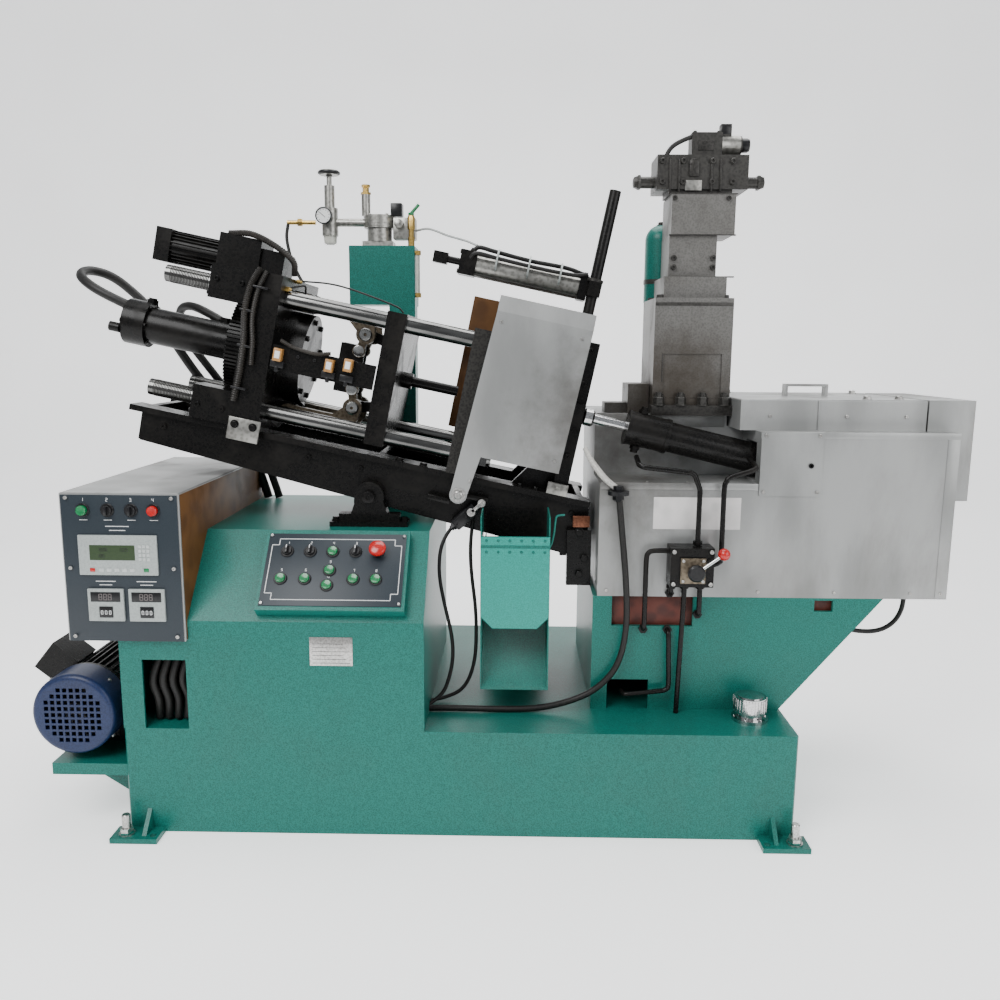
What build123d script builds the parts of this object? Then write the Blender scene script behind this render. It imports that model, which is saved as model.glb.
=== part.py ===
"""Small hot-chamber die casting machine with a tilted toggle clamp unit, in millimetres.

Row frame: +X runs from the clamp end to the furnace end, +Y away from the operator, +Z up.
The origin is on the floor, in the middle of the bed's underside.
Pieces of the clamp unit are drawn in the clamp frame (u along the clamp axis, y, w across it)
and are then tilted by the clamp unit's own angle.
"""

import os
from math import atan2, cos, degrees, pi, radians, sin, sqrt

from build123d import *

os.makedirs("parts", exist_ok=True)

# Bed and feet
BED_LENGTH = 1540.0
BED_DEPTH = 800.0
BED_HEIGHT = 255.0
BED_SEAM = 4.0
FOOT_LENGTH = 108.0
FOOT_REACH = 56.0
FOOT_PLATE = 12.0
FOOT_OUTSET = 25.0
ANCHOR_RADIUS = 8.0
ANCHOR_FROM_END = 14.0
GUSSET_FROM_END = 34.0
JACK_FROM_END = 77.0
JACK_RADIUS = 9.0

# Operator pedestal
PEDESTAL_LENGTH = 689.0
PEDESTAL_FOLD_Z = 511.0
PEDESTAL_DECK_Z = 689.0
PEDESTAL_SLOPE_RUN = 160.0
PEDESTAL_DEPTH = 675.0
PEDESTAL_WALL = 6.0
WINDOW_SIZE = (100.0, 164.0)
WINDOW_FROM_END = 50.0

# Control box and console
BOX_WIDTH = 263.0
BOX_DEPTH = 660.0
BOX_HEIGHT = 336.0
BOX_BASE_Z = 466.0
BOX_OVERHANG = 105.0
BOX_PROUD = 10.0
FACE_PLATE = 2.0
CONSOLE_SIZE = (334.0, 206.0, 28.0)
CONSOLE_FROM_END = 42.0
CONSOLE_UP_SLOPE = 16.0
BUTTON_RADIUS = 15.0
BUTTON_CAP = 11.0

# Pump drive
MOTOR_RADIUS = 88.0
COWL_RADIUS = 96.0
MOTOR_SHAFT_HEIGHT = 115.0
MOTOR_LENGTH = 255.0
COWL_LENGTH = 80.0
SHELF_HEIGHT = 165.0
SHELF_LENGTH = 175.0
SHELF_PLATE = 8.0
SHELF_FLANGE = 28.0

# Furnace stand, furnace and injection column
STAND_X = 309.0
STAND_LENGTH = 454.0
STAND_TOP_LENGTH = 689.0
STAND_DEPTH = 502.0
STAND_PLATE = 10.0
FURNACE_Z = 538.0
FURNACE_LENGTH = 827.0
FURNACE_HEIGHT = 394.0
LEDGE_HEIGHT = 272.0
LEDGE_LENGTH = 370.0
LEDGE_DEPTH = 167.0
NECK_RISE = 28.0
LID_SIZE = (436.0, 400.0, 73.0)
LID_END_GAP = 59.0
COLUMN_X = 552.0
COLUMN_WIDTH = 190.0
COLUMN_DEPTH = 200.0
COLUMN_HEIGHT = 259.0
COLUMN_PLATE = (196.0, 236.0, 24.0)

# Clamp unit: tilt, axis point, tie bars and platens, all in the clamp frame
TILT = 11.7
AXIS_X = -242.0
AXIS_Z = 1053.0
BAR_RADIUS = 20.0
BAR_SPACING = 275.0
BAR_START = -511.0
TAIL_U = -300.0
TAIL_PLATE = 76.0
TAIL_TOP = 187.0
TAIL_WIDTH = 380.0
MOVING_U = 27.0
MOVING_PLATE = 47.0
MOVING_SIZE = (322.0, 340.0)
FIXED_U = 237.0
FIXED_PLATE = 55.0
FIXED_SIZE = (330.0, 360.0)
HUB_RADIUS = 112.0
HUB_THICKNESS = 54.0
SLIDE_FIT = 0.05

# Beam under the clamp unit
BEAM_TOP_W = -186.0
BEAM_HALF_WIDTH = 150.0
FLANGE_HALF_WIDTH = 166.0
FLANGE = 14.0
BEAM_WEB = 12.0
BEAM_START = -544.0
BEAM_END = 598.0
TRUNNION_U = 67.0
TRUNNION_W = -284.0
TRUNNION_RADIUS = 36.0

# Toggle linkage, shown locked; the open position is PLATEN_STROKE to the left
TAIL_PIN = (-190.0, 138.0)
KNUCKLE = (-32.0, 93.0)
PLATEN_PIN = (40.0, 80.0)
CROSS_PIN = (-45.0, 49.0)
PIN_RADIUS = 13.0
EYE_RADIUS = 18.0
PLATEN_STROKE = 55.0
PISTON_ROD_RADIUS = 16.0
REAR_LINK_Y = (48.0, 66.0)
CROSS_LINK_Y = (26.0, 45.0)
FRONT_LINK_HALF = 12.0
CHEEK_Y = (15.0, 24.0)

# Guard over the die space, standing open beside it
GUARD_Y = -218.0
GUARD_SHEET = 3.0
GUARD_U = (281.0, 508.0)
GUARD_W = (-128.0, 213.0)
GUARD_PIVOT = (279.0, -228.0)

BED_LEFT = -BED_LENGTH / 2
FRONT_Y = -BED_DEPTH / 2
HALF_BAR = BAR_SPACING / 2


def slab(x0, x1, y0, y1, z0, z1):
    """Box between two corners."""
    return Pos((x0 + x1) / 2, (y0 + y1) / 2, (z0 + z1) / 2) * Box(x1 - x0, y1 - y0, z1 - z0)


def rod_y(x, z, radius, y0, y1):
    """Round bar along Y."""
    return Pos(x, (y0 + y1) / 2, z) * Rot(90, 0, 0) * Cylinder(radius, y1 - y0)


def rod_x(y, z, radius, x0, x1):
    """Round bar along X, or along u in the clamp frame."""
    return Pos((x0 + x1) / 2, y, z) * Rot(0, 90, 0) * Cylinder(radius, x1 - x0)


def rod_z(x, y, radius, z0, z1):
    """Upright round bar."""
    return Pos(x, y, (z0 + z1) / 2) * Cylinder(radius, z1 - z0)


def plate_y(points, y0, y1):
    """Plate with an outline of (x, z) points, standing between two Y planes."""
    face = Plane.XZ * make_face(Polyline(*points, close=True))
    return Pos(0, y1, 0) * extrude(face, amount=y1 - y0)


def prism_x(points, x0, x1):
    """Prism with an outline of (y, z) points, between two X planes."""
    face = Plane.YZ * make_face(Polyline(*points, close=True))
    return Pos(x0, 0, 0) * extrude(face, amount=x1 - x0)


def clamp(shape):
    """Carries a shape from the clamp frame to the row frame."""
    return Location((AXIS_X, 0, AXIS_Z), (0, TILT, 0)) * shape


def clamp_point(u, w):
    """Row-frame X and Z of a point of the clamp frame."""
    tilt = radians(TILT)
    return AXIS_X + u * cos(tilt) + w * sin(tilt), AXIS_Z - u * sin(tilt) + w * cos(tilt)


def pipe(points, radius, bend):
    """Round tube solid along straight runs joined by arcs."""
    path = FilletPolyline(*points, radius=bend)
    start = Plane(origin=path @ 0, z_dir=path % 0)
    return sweep(start * Circle(radius), path=path)


def save(name, shape):
    """Writes one node."""
    export_step(shape, f"parts/{name}.step")


# Bed: a closed welded tank
bed_body = slab(BED_LEFT, -BED_LEFT, FRONT_Y, -FRONT_Y, 0, BED_HEIGHT)
bed_body = chamfer(bed_body.edges().filter_by(Axis.Z), BED_SEAM)


def foot(side_x, side_y):
    """Anchor foot in one corner: plate, gusset and jack bolt."""
    outer = side_x * (-BED_LEFT + FOOT_OUTSET)
    inner = outer - side_x * FOOT_LENGTH
    x0, x1 = sorted((outer, inner))
    near = side_y * -FRONT_Y
    far = side_y * (-FRONT_Y + FOOT_REACH)
    y0, y1 = sorted((near, far))
    body = slab(x0, x1, y0, y1, 0, FOOT_PLATE)
    rib = [(near, FOOT_PLATE), (near + side_y * FOOT_REACH * 0.75, FOOT_PLATE), (near, FOOT_PLATE + 46)]
    rib_x = inner + side_x * GUSSET_FROM_END
    body += prism_x(rib, rib_x - 5, rib_x + 5)
    hole_x = inner + side_x * ANCHOR_FROM_END
    body -= rod_z(hole_x, far - side_y * 18, ANCHOR_RADIUS, -1, FOOT_PLATE + 1)
    jack_x = inner + side_x * JACK_FROM_END
    body += rod_z(jack_x, far - side_y * 24, JACK_RADIUS, 0, 58)
    nut = Pos(jack_x, far - side_y * 24, FOOT_PLATE + 8) * extrude(RegularPolygon(16, 6), amount=8, both=True)
    return body + nut


for foot_x in (-1, 1):
    for foot_y in (-1, 1):
        bed_body += foot(foot_x, foot_y)
save("bed", bed_body)

# Operator pedestal: a hollow shell of folded plate with a service window
ped_x0 = BED_LEFT
ped_x1 = BED_LEFT + PEDESTAL_LENGTH
box_x1 = BED_LEFT - BOX_OVERHANG + BOX_WIDTH
ped_back = FRONT_Y + PEDESTAL_DEPTH
deck_y = FRONT_Y + PEDESTAL_SLOPE_RUN
low_top = BOX_BASE_Z


def pedestal_block(inset):
    """Outer form of the pedestal, or its hollow when inset."""
    front = FRONT_Y + inset
    back = ped_back - inset
    slope = degrees(atan2(PEDESTAL_DECK_Z - PEDESTAL_FOLD_Z, PEDESTAL_SLOPE_RUN))
    drop = inset * (1 - cos(radians(slope))) / sin(radians(slope))
    bottom = BED_HEIGHT - (1 if inset else 0)
    high = [
        (front, bottom),
        (front, PEDESTAL_FOLD_Z - drop),
        (deck_y + drop, PEDESTAL_DECK_Z - inset),
        (back, PEDESTAL_DECK_Z - inset),
        (back, bottom),
    ]
    low = slab(ped_x0 + inset, box_x1 + 2, front, back, bottom, low_top - inset)
    return prism_x(high, box_x1 + inset, ped_x1 - inset) + low


pedestal = pedestal_block(0) - pedestal_block(PEDESTAL_WALL)
window_x0 = BED_LEFT + WINDOW_FROM_END
window = slab(
    window_x0, window_x0 + WINDOW_SIZE[0], FRONT_Y - 5, FRONT_Y + 20, BED_HEIGHT - 1, BED_HEIGHT + WINDOW_SIZE[1]
)
pedestal -= window
save("operator_pedestal", pedestal)

# Console on the slope
slope_angle = atan2(PEDESTAL_DECK_Z - PEDESTAL_FOLD_Z, PEDESTAL_SLOPE_RUN)
slope = Plane(
    origin=(0, FRONT_Y, PEDESTAL_FOLD_Z), x_dir=(1, 0, 0), z_dir=(0, -sin(slope_angle), cos(slope_angle))
)
console_x = ped_x1 - CONSOLE_FROM_END - CONSOLE_SIZE[0] / 2
console_s = CONSOLE_UP_SLOPE + CONSOLE_SIZE[1] / 2
console = slope * Pos(console_x, console_s, CONSOLE_SIZE[2] / 2) * Box(*CONSOLE_SIZE)
face_w, face_h = CONSOLE_SIZE[0] - 14, CONSOLE_SIZE[1] - 20
console += slope * Pos(console_x, console_s + 2, CONSOLE_SIZE[2] + FACE_PLATE / 2) * Box(face_w, face_h, FACE_PLATE)
save("console_box", console)

ROW_TOP = 45.0
ROW_LOW = -26.0
COLUMN_GAP = 53.0
button_places = [(-113, ROW_TOP), (-60, ROW_TOP), (-8, ROW_TOP), (45, ROW_TOP)]
button_places += [(-119, ROW_LOW), (-64, ROW_LOW), (46, ROW_LOW), (97, ROW_LOW), (-10, -4), (-12, -42)]
buttons = []
for bx, bs in button_places:
    base = Pos(console_x + bx, console_s + bs, CONSOLE_SIZE[2] + FACE_PLATE + 2) * Cylinder(BUTTON_RADIUS, 4)
    cap = Pos(console_x + bx, console_s + bs, CONSOLE_SIZE[2] + FACE_PLATE + 8) * Cylinder(BUTTON_CAP, 12)
    buttons.append(slope * (base + cap))
stop = Pos(console_x + 97, console_s + ROW_TOP, CONSOLE_SIZE[2] + FACE_PLATE + 9) * Cylinder(12, 18)
stop += Pos(console_x + 97, console_s + ROW_TOP, CONSOLE_SIZE[2] + FACE_PLATE + 22) * Cylinder(20, 10)
buttons.append(slope * stop)
save("console_buttons", Compound(children=buttons))

# Control box beside the pedestal
box_x0 = BED_LEFT - BOX_OVERHANG
box_y0 = FRONT_Y - BOX_PROUD
control_box = slab(box_x0, box_x1, box_y0, box_y0 + BOX_DEPTH, BOX_BASE_Z, BOX_BASE_Z + BOX_HEIGHT)
control_box = fillet(control_box.edges().filter_by(Axis.Y), 3)
control_box += slab(
    box_x0 + 3, box_x1 - 3, box_y0 - FACE_PLATE, box_y0, BOX_BASE_Z + 4, BOX_BASE_Z + BOX_HEIGHT - 4
)
save("control_box", control_box)
fit_y = box_y0 - FACE_PLATE
fittings = []
display_z = BOX_BASE_Z + 198
fittings.append(slab(box_x0 + 38, box_x0 + 212, fit_y - 6, fit_y, display_z - 45, display_z + 45))
for cx in (box_x0 + 92, box_x0 + 183):
    fittings.append(slab(cx - 40, cx + 40, fit_y - 8, fit_y, BOX_BASE_Z + 48, BOX_BASE_Z + 122))
for cx in (52, 106, 158, 207):
    knob_z = BOX_BASE_Z + 298
    fittings.append(rod_y(box_x0 + cx, knob_z, BUTTON_RADIUS, fit_y - 4, fit_y) + rod_y(box_x0 + cx, knob_z, BUTTON_CAP, fit_y - 16, fit_y))
save("control_fittings", Compound(children=fittings))

# Pump drive: shelf, motor along Y, fan cowl and pump
motor_x = BED_LEFT - 121.0
motor_z = SHELF_HEIGHT + MOTOR_SHAFT_HEIGHT
cowl_y = FRONT_Y + 8.0
shelf_y1 = cowl_y + COWL_LENGTH + MOTOR_LENGTH + 20
shelf = slab(BED_LEFT - SHELF_LENGTH, BED_LEFT, FRONT_Y + 4, shelf_y1, SHELF_HEIGHT - SHELF_PLATE, SHELF_HEIGHT)
shelf += slab(
    BED_LEFT - SHELF_LENGTH, BED_LEFT, FRONT_Y + 4, FRONT_Y + 12, SHELF_HEIGHT - SHELF_FLANGE, SHELF_HEIGHT
)
for brace_y in (FRONT_Y + 60, shelf_y1 - 40):
    brace = [
        (BED_LEFT, SHELF_HEIGHT - SHELF_PLATE),
        (BED_LEFT - SHELF_LENGTH + 20, SHELF_HEIGHT - SHELF_PLATE),
        (BED_LEFT, SHELF_HEIGHT - 110),
    ]
    shelf += plate_y(brace, brace_y, brace_y + SHELF_PLATE)
save("motor_shelf", shelf)

motor_y0 = cowl_y + COWL_LENGTH
motor_y1 = motor_y0 + MOTOR_LENGTH
motor = rod_y(motor_x, motor_z, MOTOR_RADIUS - 10, motor_y0, motor_y1)
motor += rod_y(motor_x, motor_z, COWL_RADIUS - 1, motor_y0, motor_y0 + 10)
fin_count = 32
for k in range(fin_count):
    fin = Pos(MOTOR_RADIUS - 8, 0, 0) * Box(16, MOTOR_LENGTH - 30, 2.4)
    motor += Pos(motor_x, (motor_y0 + motor_y1) / 2, motor_z) * Rot(0, k * 360 / fin_count, 0) * fin
for fx in (-70, 50):
    motor += slab(
        motor_x + fx, motor_x + fx + 20, motor_y0 + 40, motor_y1 - 40, SHELF_HEIGHT + 10, motor_z - 40
    )
motor += slab(motor_x - 80, motor_x + 80, motor_y0 + 40, motor_y1 - 40, SHELF_HEIGHT, SHELF_HEIGHT + 12)
terminal = Pos(MOTOR_RADIUS + 34, 0, 0) * Box(76, 92, 78)
motor += Pos(motor_x, motor_y0 + 90, motor_z) * Rot(0, -141, 0) * terminal
save("pump_motor", motor)

cowl = rod_y(motor_x, motor_z, COWL_RADIUS, cowl_y, motor_y0)
cowl = fillet(cowl.edges().group_by(Axis.Y)[0], 12)
cowl_inside = rod_y(motor_x, motor_z, COWL_RADIUS - 3, cowl_y + 3, motor_y0 + 1)
cowl -= fillet(cowl_inside.edges().group_by(Axis.Y)[0], 9)
GRILLE_PITCH = 15.0
for gx in range(-5, 6):
    for gz in range(-5, 6):
        if sqrt(gx * gx + gz * gz) * GRILLE_PITCH < COWL_RADIUS - 22:
            hole = slab(
                motor_x + gx * GRILLE_PITCH - 5, motor_x + gx * GRILLE_PITCH + 5, cowl_y - 1, cowl_y + 4,
                motor_z + gz * GRILLE_PITCH - 5, motor_z + gz * GRILLE_PITCH + 5,
            )
            cowl -= hole
save("motor_cowl", cowl)
pump = rod_y(motor_x, motor_z, 62, motor_y1, motor_y1 + 60)
pump += slab(motor_x - 45, motor_x + 45, motor_y1 + 60, motor_y1 + 130, motor_z - 50, motor_z + 50)
save("hydraulic_pump", pump)

# Filler cap on the bed
filler_x, filler_y = 682.0, -303.0
filler = rod_z(filler_x, filler_y, 42, BED_HEIGHT, BED_HEIGHT + 8)
filler += rod_z(filler_x, filler_y, 30, BED_HEIGHT, BED_HEIGHT + 20)
filler += rod_z(filler_x, filler_y, 37, BED_HEIGHT + 20, BED_HEIGHT + 58)
save("filler_cap", filler)

# Furnace stand: plate box with a sloping end and cut-outs
stand_y = STAND_DEPTH / 2
stand_outline = [
    (STAND_X, BED_HEIGHT),
    (STAND_X + STAND_LENGTH, BED_HEIGHT),
    (STAND_X + STAND_TOP_LENGTH, FURNACE_Z),
    (STAND_X, FURNACE_Z),
]
hollow_outline = [
    (STAND_X + STAND_PLATE, BED_HEIGHT - 1),
    (STAND_X + STAND_LENGTH - STAND_PLATE * 1.5, BED_HEIGHT - 1),
    (STAND_X + STAND_TOP_LENGTH - STAND_PLATE * 1.5, FURNACE_Z + 1),
    (STAND_X + STAND_PLATE, FURNACE_Z + 1),
]
stand = plate_y(stand_outline, -stand_y, stand_y)
stand -= plate_y(hollow_outline, -stand_y + STAND_PLATE, stand_y - STAND_PLATE)
stand -= slab(STAND_X + 46, STAND_X + 239, -stand_y - 1, -stand_y + 30, FURNACE_Z - 73, FURNACE_Z + 1)
stand -= slab(STAND_X + 39, STAND_X + 139, -stand_y - 1, -stand_y + 30, BED_HEIGHT - 1, BED_HEIGHT + 75)
stand -= slab(STAND_X + 527, STAND_X + 571, -stand_y - 1, -stand_y + 30, FURNACE_Z - 33, FURNACE_Z - 6)
save("furnace_stand", stand)

# Furnace housing with its stepped corner
fur_x0 = STAND_X + 10.0
fur_x1 = fur_x0 + FURNACE_LENGTH
fur_top = FURNACE_Z + FURNACE_HEIGHT
neck_top = fur_top + NECK_RISE
ledge_z = FURNACE_Z + LEDGE_HEIGHT
ledge_x1 = fur_x0 + LEDGE_LENGTH
ledge_y = -stand_y + LEDGE_DEPTH
housing = slab(fur_x0, fur_x1, -stand_y, stand_y, FURNACE_Z, fur_top)
housing -= slab(fur_x0 - 1, ledge_x1, -stand_y - 1, ledge_y, ledge_z, fur_top + 1)
housing += slab(fur_x0, ledge_x1 - 42, ledge_y, stand_y, fur_top, neck_top)
housing -= slab(ledge_x1 - 1, ledge_x1 + 60, -stand_y + 36, -stand_y + 131, ledge_z + 5, ledge_z + 95)
housing += slab(ledge_x1, ledge_x1 + 144, -stand_y - 3, -stand_y, fur_top - 149, fur_top)
save("furnace_housing", housing)

lid_x1 = fur_x1 - LID_END_GAP
lid = slab(lid_x1 - LID_SIZE[0], lid_x1, -LID_SIZE[1] / 2, LID_SIZE[1] / 2, fur_top, fur_top + LID_SIZE[2])
lid = fillet(lid.edges().group_by(Axis.Z)[-1], 4)
handle_x = lid_x1 - 224
handle = slab(handle_x - 54, handle_x + 54, -15, 15, fur_top + LID_SIZE[2], fur_top + LID_SIZE[2] + 30)
handle -= slab(handle_x - 48, handle_x + 48, -16, 16, fur_top + LID_SIZE[2] - 1, fur_top + LID_SIZE[2] + 24)
save("furnace_lid", lid + handle)

end_top = fur_top + LID_SIZE[2]
end_panel = slab(lid_x1 + 6, fur_x1 + 56, -196, 196, fur_top, end_top)
end_panel += slab(fur_x1, fur_x1 + 56, -196, 196, end_top - 239, fur_top + 1)
save("furnace_end_panel", end_panel)

# Injection column on the neck of the furnace
base_top = neck_top + COLUMN_PLATE[2]
column_base = slab(
    COLUMN_X - COLUMN_PLATE[0] / 2, COLUMN_X + COLUMN_PLATE[0] / 2, -COLUMN_PLATE[1] / 2, COLUMN_PLATE[1] / 2,
    neck_top, base_top,
)
for sx in (-80, -27, 27, 80):
    column_base += rod_z(COLUMN_X + sx, -COLUMN_PLATE[1] / 2 + 9, 7, base_top, base_top + 16)
frame_top = base_top + COLUMN_HEIGHT
half_w, half_d = COLUMN_WIDTH / 2, COLUMN_DEPTH / 2
frame = column_base + slab(COLUMN_X - half_w, COLUMN_X + half_w, -half_d, half_d, base_top, frame_top)
frame -= slab(COLUMN_X - 70, COLUMN_X + 72, -half_d - 1, -half_d + 4, base_top + 16, base_top + 125)
frame += slab(COLUMN_X - 72, COLUMN_X + 80, -78, 78, frame_top, frame_top + 52)
save("injection_frame", frame)
cyl_z0 = frame_top + 52
cylinder = slab(COLUMN_X - 60, COLUMN_X + 56, -58, 58, cyl_z0, cyl_z0 + 100)
cylinder += slab(COLUMN_X - 58, COLUMN_X + 96, -66, 66, cyl_z0 + 100, cyl_z0 + 196)
save("injection_cylinder", cylinder)
valve_z0 = cyl_z0 + 196
valve = slab(COLUMN_X - 64, COLUMN_X + 90, -46, 46, valve_z0, valve_z0 + 66)
valve += slab(COLUMN_X - 94, COLUMN_X + 126, -52, 52, valve_z0 + 12, valve_z0 + 92)
valve += rod_x(0, valve_z0 + 36, 14, COLUMN_X - 134, COLUMN_X + 166)
pilot_z0 = valve_z0 + 92
pilot = valve + slab(COLUMN_X - 8, COLUMN_X + 66, -24, 24, pilot_z0, pilot_z0 + 58)
pilot += rod_x(0, pilot_z0 + 32, 22, COLUMN_X + 66, COLUMN_X + 116)
pilot += rod_x(0, pilot_z0 + 32, 15, COLUMN_X + 116, COLUMN_X + 136)
pilot += slab(COLUMN_X + 64, COLUMN_X + 90, -12, 12, pilot_z0 + 50, pilot_z0 + 80)
save("main_valve", pilot)
accumulator = rod_z(COLUMN_X - 52, 128, 40, frame_top, frame_top + 160)
accumulator += Pos(COLUMN_X - 52, 128, frame_top + 160) * Sphere(40)
accumulator += slab(COLUMN_X - 70, COLUMN_X - 34, 78, 100, frame_top + 8, frame_top + 44)
save("accumulator", accumulator)

# Gooseneck arm that carries the nozzle to the die
neck_bracket = slab(COLUMN_X - 150, COLUMN_X - COLUMN_PLATE[0] / 2, -60, 60, neck_top, neck_top + 74)
neck_bracket += slab(COLUMN_X - 205, COLUMN_X - 150, -34, 34, neck_top, neck_top + 26)
save("gooseneck_bracket", neck_bracket)

# Seat cylinder that draws clamp unit and furnace together
SEAT_Y = -168.0
seat_left = (282.0, 960.0)
seat_right = (728.0, 855.0)
seat_tilt = degrees(atan2(seat_left[1] - seat_right[1], seat_right[0] - seat_left[0]))
seat_length = sqrt((seat_right[0] - seat_left[0]) ** 2 + (seat_left[1] - seat_right[1]) ** 2)
seat_place = Location((seat_left[0], SEAT_Y, seat_left[1]), (0, seat_tilt, 0))
seat = rod_x(0, 0, 36, 208, seat_length)
seat += rod_x(0, 0, 40, 108, 208)
seat += rod_x(0, 0, 11, 12, 108) + rod_x(0, 0, 20, 5, 24)
save("seat_cylinder", seat_place * seat)

# Hand valve on the housing
VALVE_X = 531.0
VALVE_Z = 622.0
hand_valve = slab(VALVE_X - 50, VALVE_X + 50, -stand_y - 56, -stand_y, VALVE_Z - 46, VALVE_Z + 46)
hand_valve += slab(VALVE_X - 28, VALVE_X + 30, -stand_y - 60, -stand_y - 56, VALVE_Z - 36, VALVE_Z + 24)
save("hand_valve", hand_valve)
lever_x, lever_z = VALVE_X + 6, VALVE_Z - 8
lever = rod_y(lever_x, lever_z, 17, -stand_y - 84, -stand_y - 60.3)
lever_dir = radians(36)
tip_x, tip_z = lever_x + 76 * cos(lever_dir), lever_z + 76 * sin(lever_dir)
lever += Pos(lever_x, -stand_y - 74, lever_z) * Rot(0, 90 - 36, 0) * Pos(0, 0, 38) * Cylinder(4, 76)
lever += Pos(tip_x, -stand_y - 74, tip_z) * Sphere(14)
save("valve_lever", lever)

# Beam: two webs and flanges with an open well under the die space
web_outline = [
    (BEAM_START + 26, BEAM_TOP_W - FLANGE),
    (BEAM_END, BEAM_TOP_W - FLANGE),
    (BEAM_END + 24, -331),
    (8, -300),
    (BEAM_START + 30, -270),
]
beam = plate_y(web_outline, -BEAM_HALF_WIDTH, -BEAM_HALF_WIDTH + BEAM_WEB)
beam += plate_y(web_outline, BEAM_HALF_WIDTH - BEAM_WEB, BEAM_HALF_WIDTH)
for fy0, fy1 in ((-FLANGE_HALF_WIDTH, -95), (95, FLANGE_HALF_WIDTH)):
    beam += slab(BEAM_START, BEAM_END, fy0, fy1, BEAM_TOP_W - FLANGE, BEAM_TOP_W)
beam += slab(BEAM_START + 26, BEAM_START + 40, -BEAM_HALF_WIDTH, BEAM_HALF_WIDTH, -268, BEAM_TOP_W)
beam += slab(-260, -240, -BEAM_HALF_WIDTH, BEAM_HALF_WIDTH, -272, BEAM_TOP_W)
beam += slab(60, 74, -BEAM_HALF_WIDTH, BEAM_HALF_WIDTH, -296, BEAM_TOP_W)
beam += slab(BEAM_END - 30, BEAM_END - 14, -BEAM_HALF_WIDTH, BEAM_HALF_WIDTH, -325, BEAM_TOP_W)
pivot = rod_y(GUARD_PIVOT[0], GUARD_PIVOT[1], 8, GUARD_Y - 6, -BEAM_HALF_WIDTH)
pivot += rod_y(GUARD_PIVOT[0], GUARD_PIVOT[1], 16, GUARD_Y + GUARD_SHEET + 1, -BEAM_HALF_WIDTH)
save("rail_beam", clamp(beam + pivot))

# Trunnion brackets on the pedestal deck
tr_x, tr_z = clamp_point(TRUNNION_U, TRUNNION_W)
trunnions = []
for side in (-1, 1):
    y0, y1 = sorted((side * (BEAM_HALF_WIDTH + 0.3), side * (BEAM_HALF_WIDTH + 34)))
    ear = [(tr_x - 46, PEDESTAL_DECK_Z + 26), (tr_x + 46, PEDESTAL_DECK_Z + 26), (tr_x + 30, tr_z), (tr_x - 30, tr_z)]
    bracket = plate_y(ear, y0, y1) + rod_y(tr_x, tr_z, TRUNNION_RADIUS, y0, y1)
    bracket += slab(tr_x - 74, tr_x + 74, y0, y1, PEDESTAL_DECK_Z + 12, PEDESTAL_DECK_Z + 30)
    bracket += slab(tr_x - 95, tr_x + 95, y0 - 12, y1 + 12, PEDESTAL_DECK_Z, PEDESTAL_DECK_Z + 12)
    bracket += rod_y(tr_x, tr_z, 16, min(y0, side * (BEAM_HALF_WIDTH + 44)), max(y1, side * (BEAM_HALF_WIDTH + 44)))
    trunnions.append(bracket)
save("trunnion_brackets", Compound(children=trunnions))

# Bracket between beam and furnace stand
adj_x0, adj_z0 = clamp_point(574, -250)
adjust = slab(adj_x0 - 20, STAND_X, -BEAM_HALF_WIDTH - 24, -BEAM_HALF_WIDTH, FURNACE_Z + 5, adj_z0 - 10)
adjust_back = slab(adj_x0 - 20, STAND_X, BEAM_HALF_WIDTH, BEAM_HALF_WIDTH + 24, FURNACE_Z + 5, adj_z0 - 10)
save("adjust_brackets", Compound(children=[adjust, adjust_back]))


def tie_places():
    """The four tie bar centres as (y, w)."""
    return [(sy * HALF_BAR, sw * HALF_BAR) for sy in (-1, 1) for sw in (-1, 1)]


# Tie bars
bar_end = FIXED_U + FIXED_PLATE + 46
bars = []
for y, w in tie_places():
    bar = rod_x(y, w, BAR_RADIUS, BAR_START, bar_end)
    bar += Pos(FIXED_U + FIXED_PLATE, y, w) * Rot(0, 90, 0) * extrude(RegularPolygon(34, 6), amount=36)
    bars.append(clamp(bar))
save("tie_bars", Compound(children=bars))

# Tail platen with its hub and toggle lugs
tail = slab(TAIL_U, TAIL_U + TAIL_PLATE, -TAIL_WIDTH / 2, TAIL_WIDTH / 2, BEAM_TOP_W, TAIL_TOP)
hub_u1 = TAIL_U + TAIL_PLATE + HUB_THICKNESS
tail += rod_x(0, 0, HUB_RADIUS, TAIL_U + TAIL_PLATE, hub_u1)
tail_pin_radius = 24.0
for sw in (-1, 1):
    for sy in (-1, 1):
        y0, y1 = sorted((sy * CROSS_LINK_Y[0], sy * CROSS_LINK_Y[1]))
        lug = rod_y(TAIL_PIN[0], sw * TAIL_PIN[1], tail_pin_radius, y0, y1)
        lug += slab(TAIL_U + TAIL_PLATE - 1, TAIL_PIN[0], y0, y1, sw * TAIL_PIN[1] - 24, sw * TAIL_PIN[1] + 24)
        tail += lug
    tail += rod_y(TAIL_PIN[0], sw * TAIL_PIN[1], PIN_RADIUS, -REAR_LINK_Y[1] - 4, REAR_LINK_Y[1] + 4)
for y, w in tie_places():
    tail -= rod_x(y, w, BAR_RADIUS + SLIDE_FIT, TAIL_U - 1, TAIL_U + TAIL_PLATE + 1)
tail -= rod_x(0, 0, PISTON_ROD_RADIUS + 1, TAIL_U - 1, hub_u1 + 1)
save("tail_platen", clamp(tail))

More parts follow.
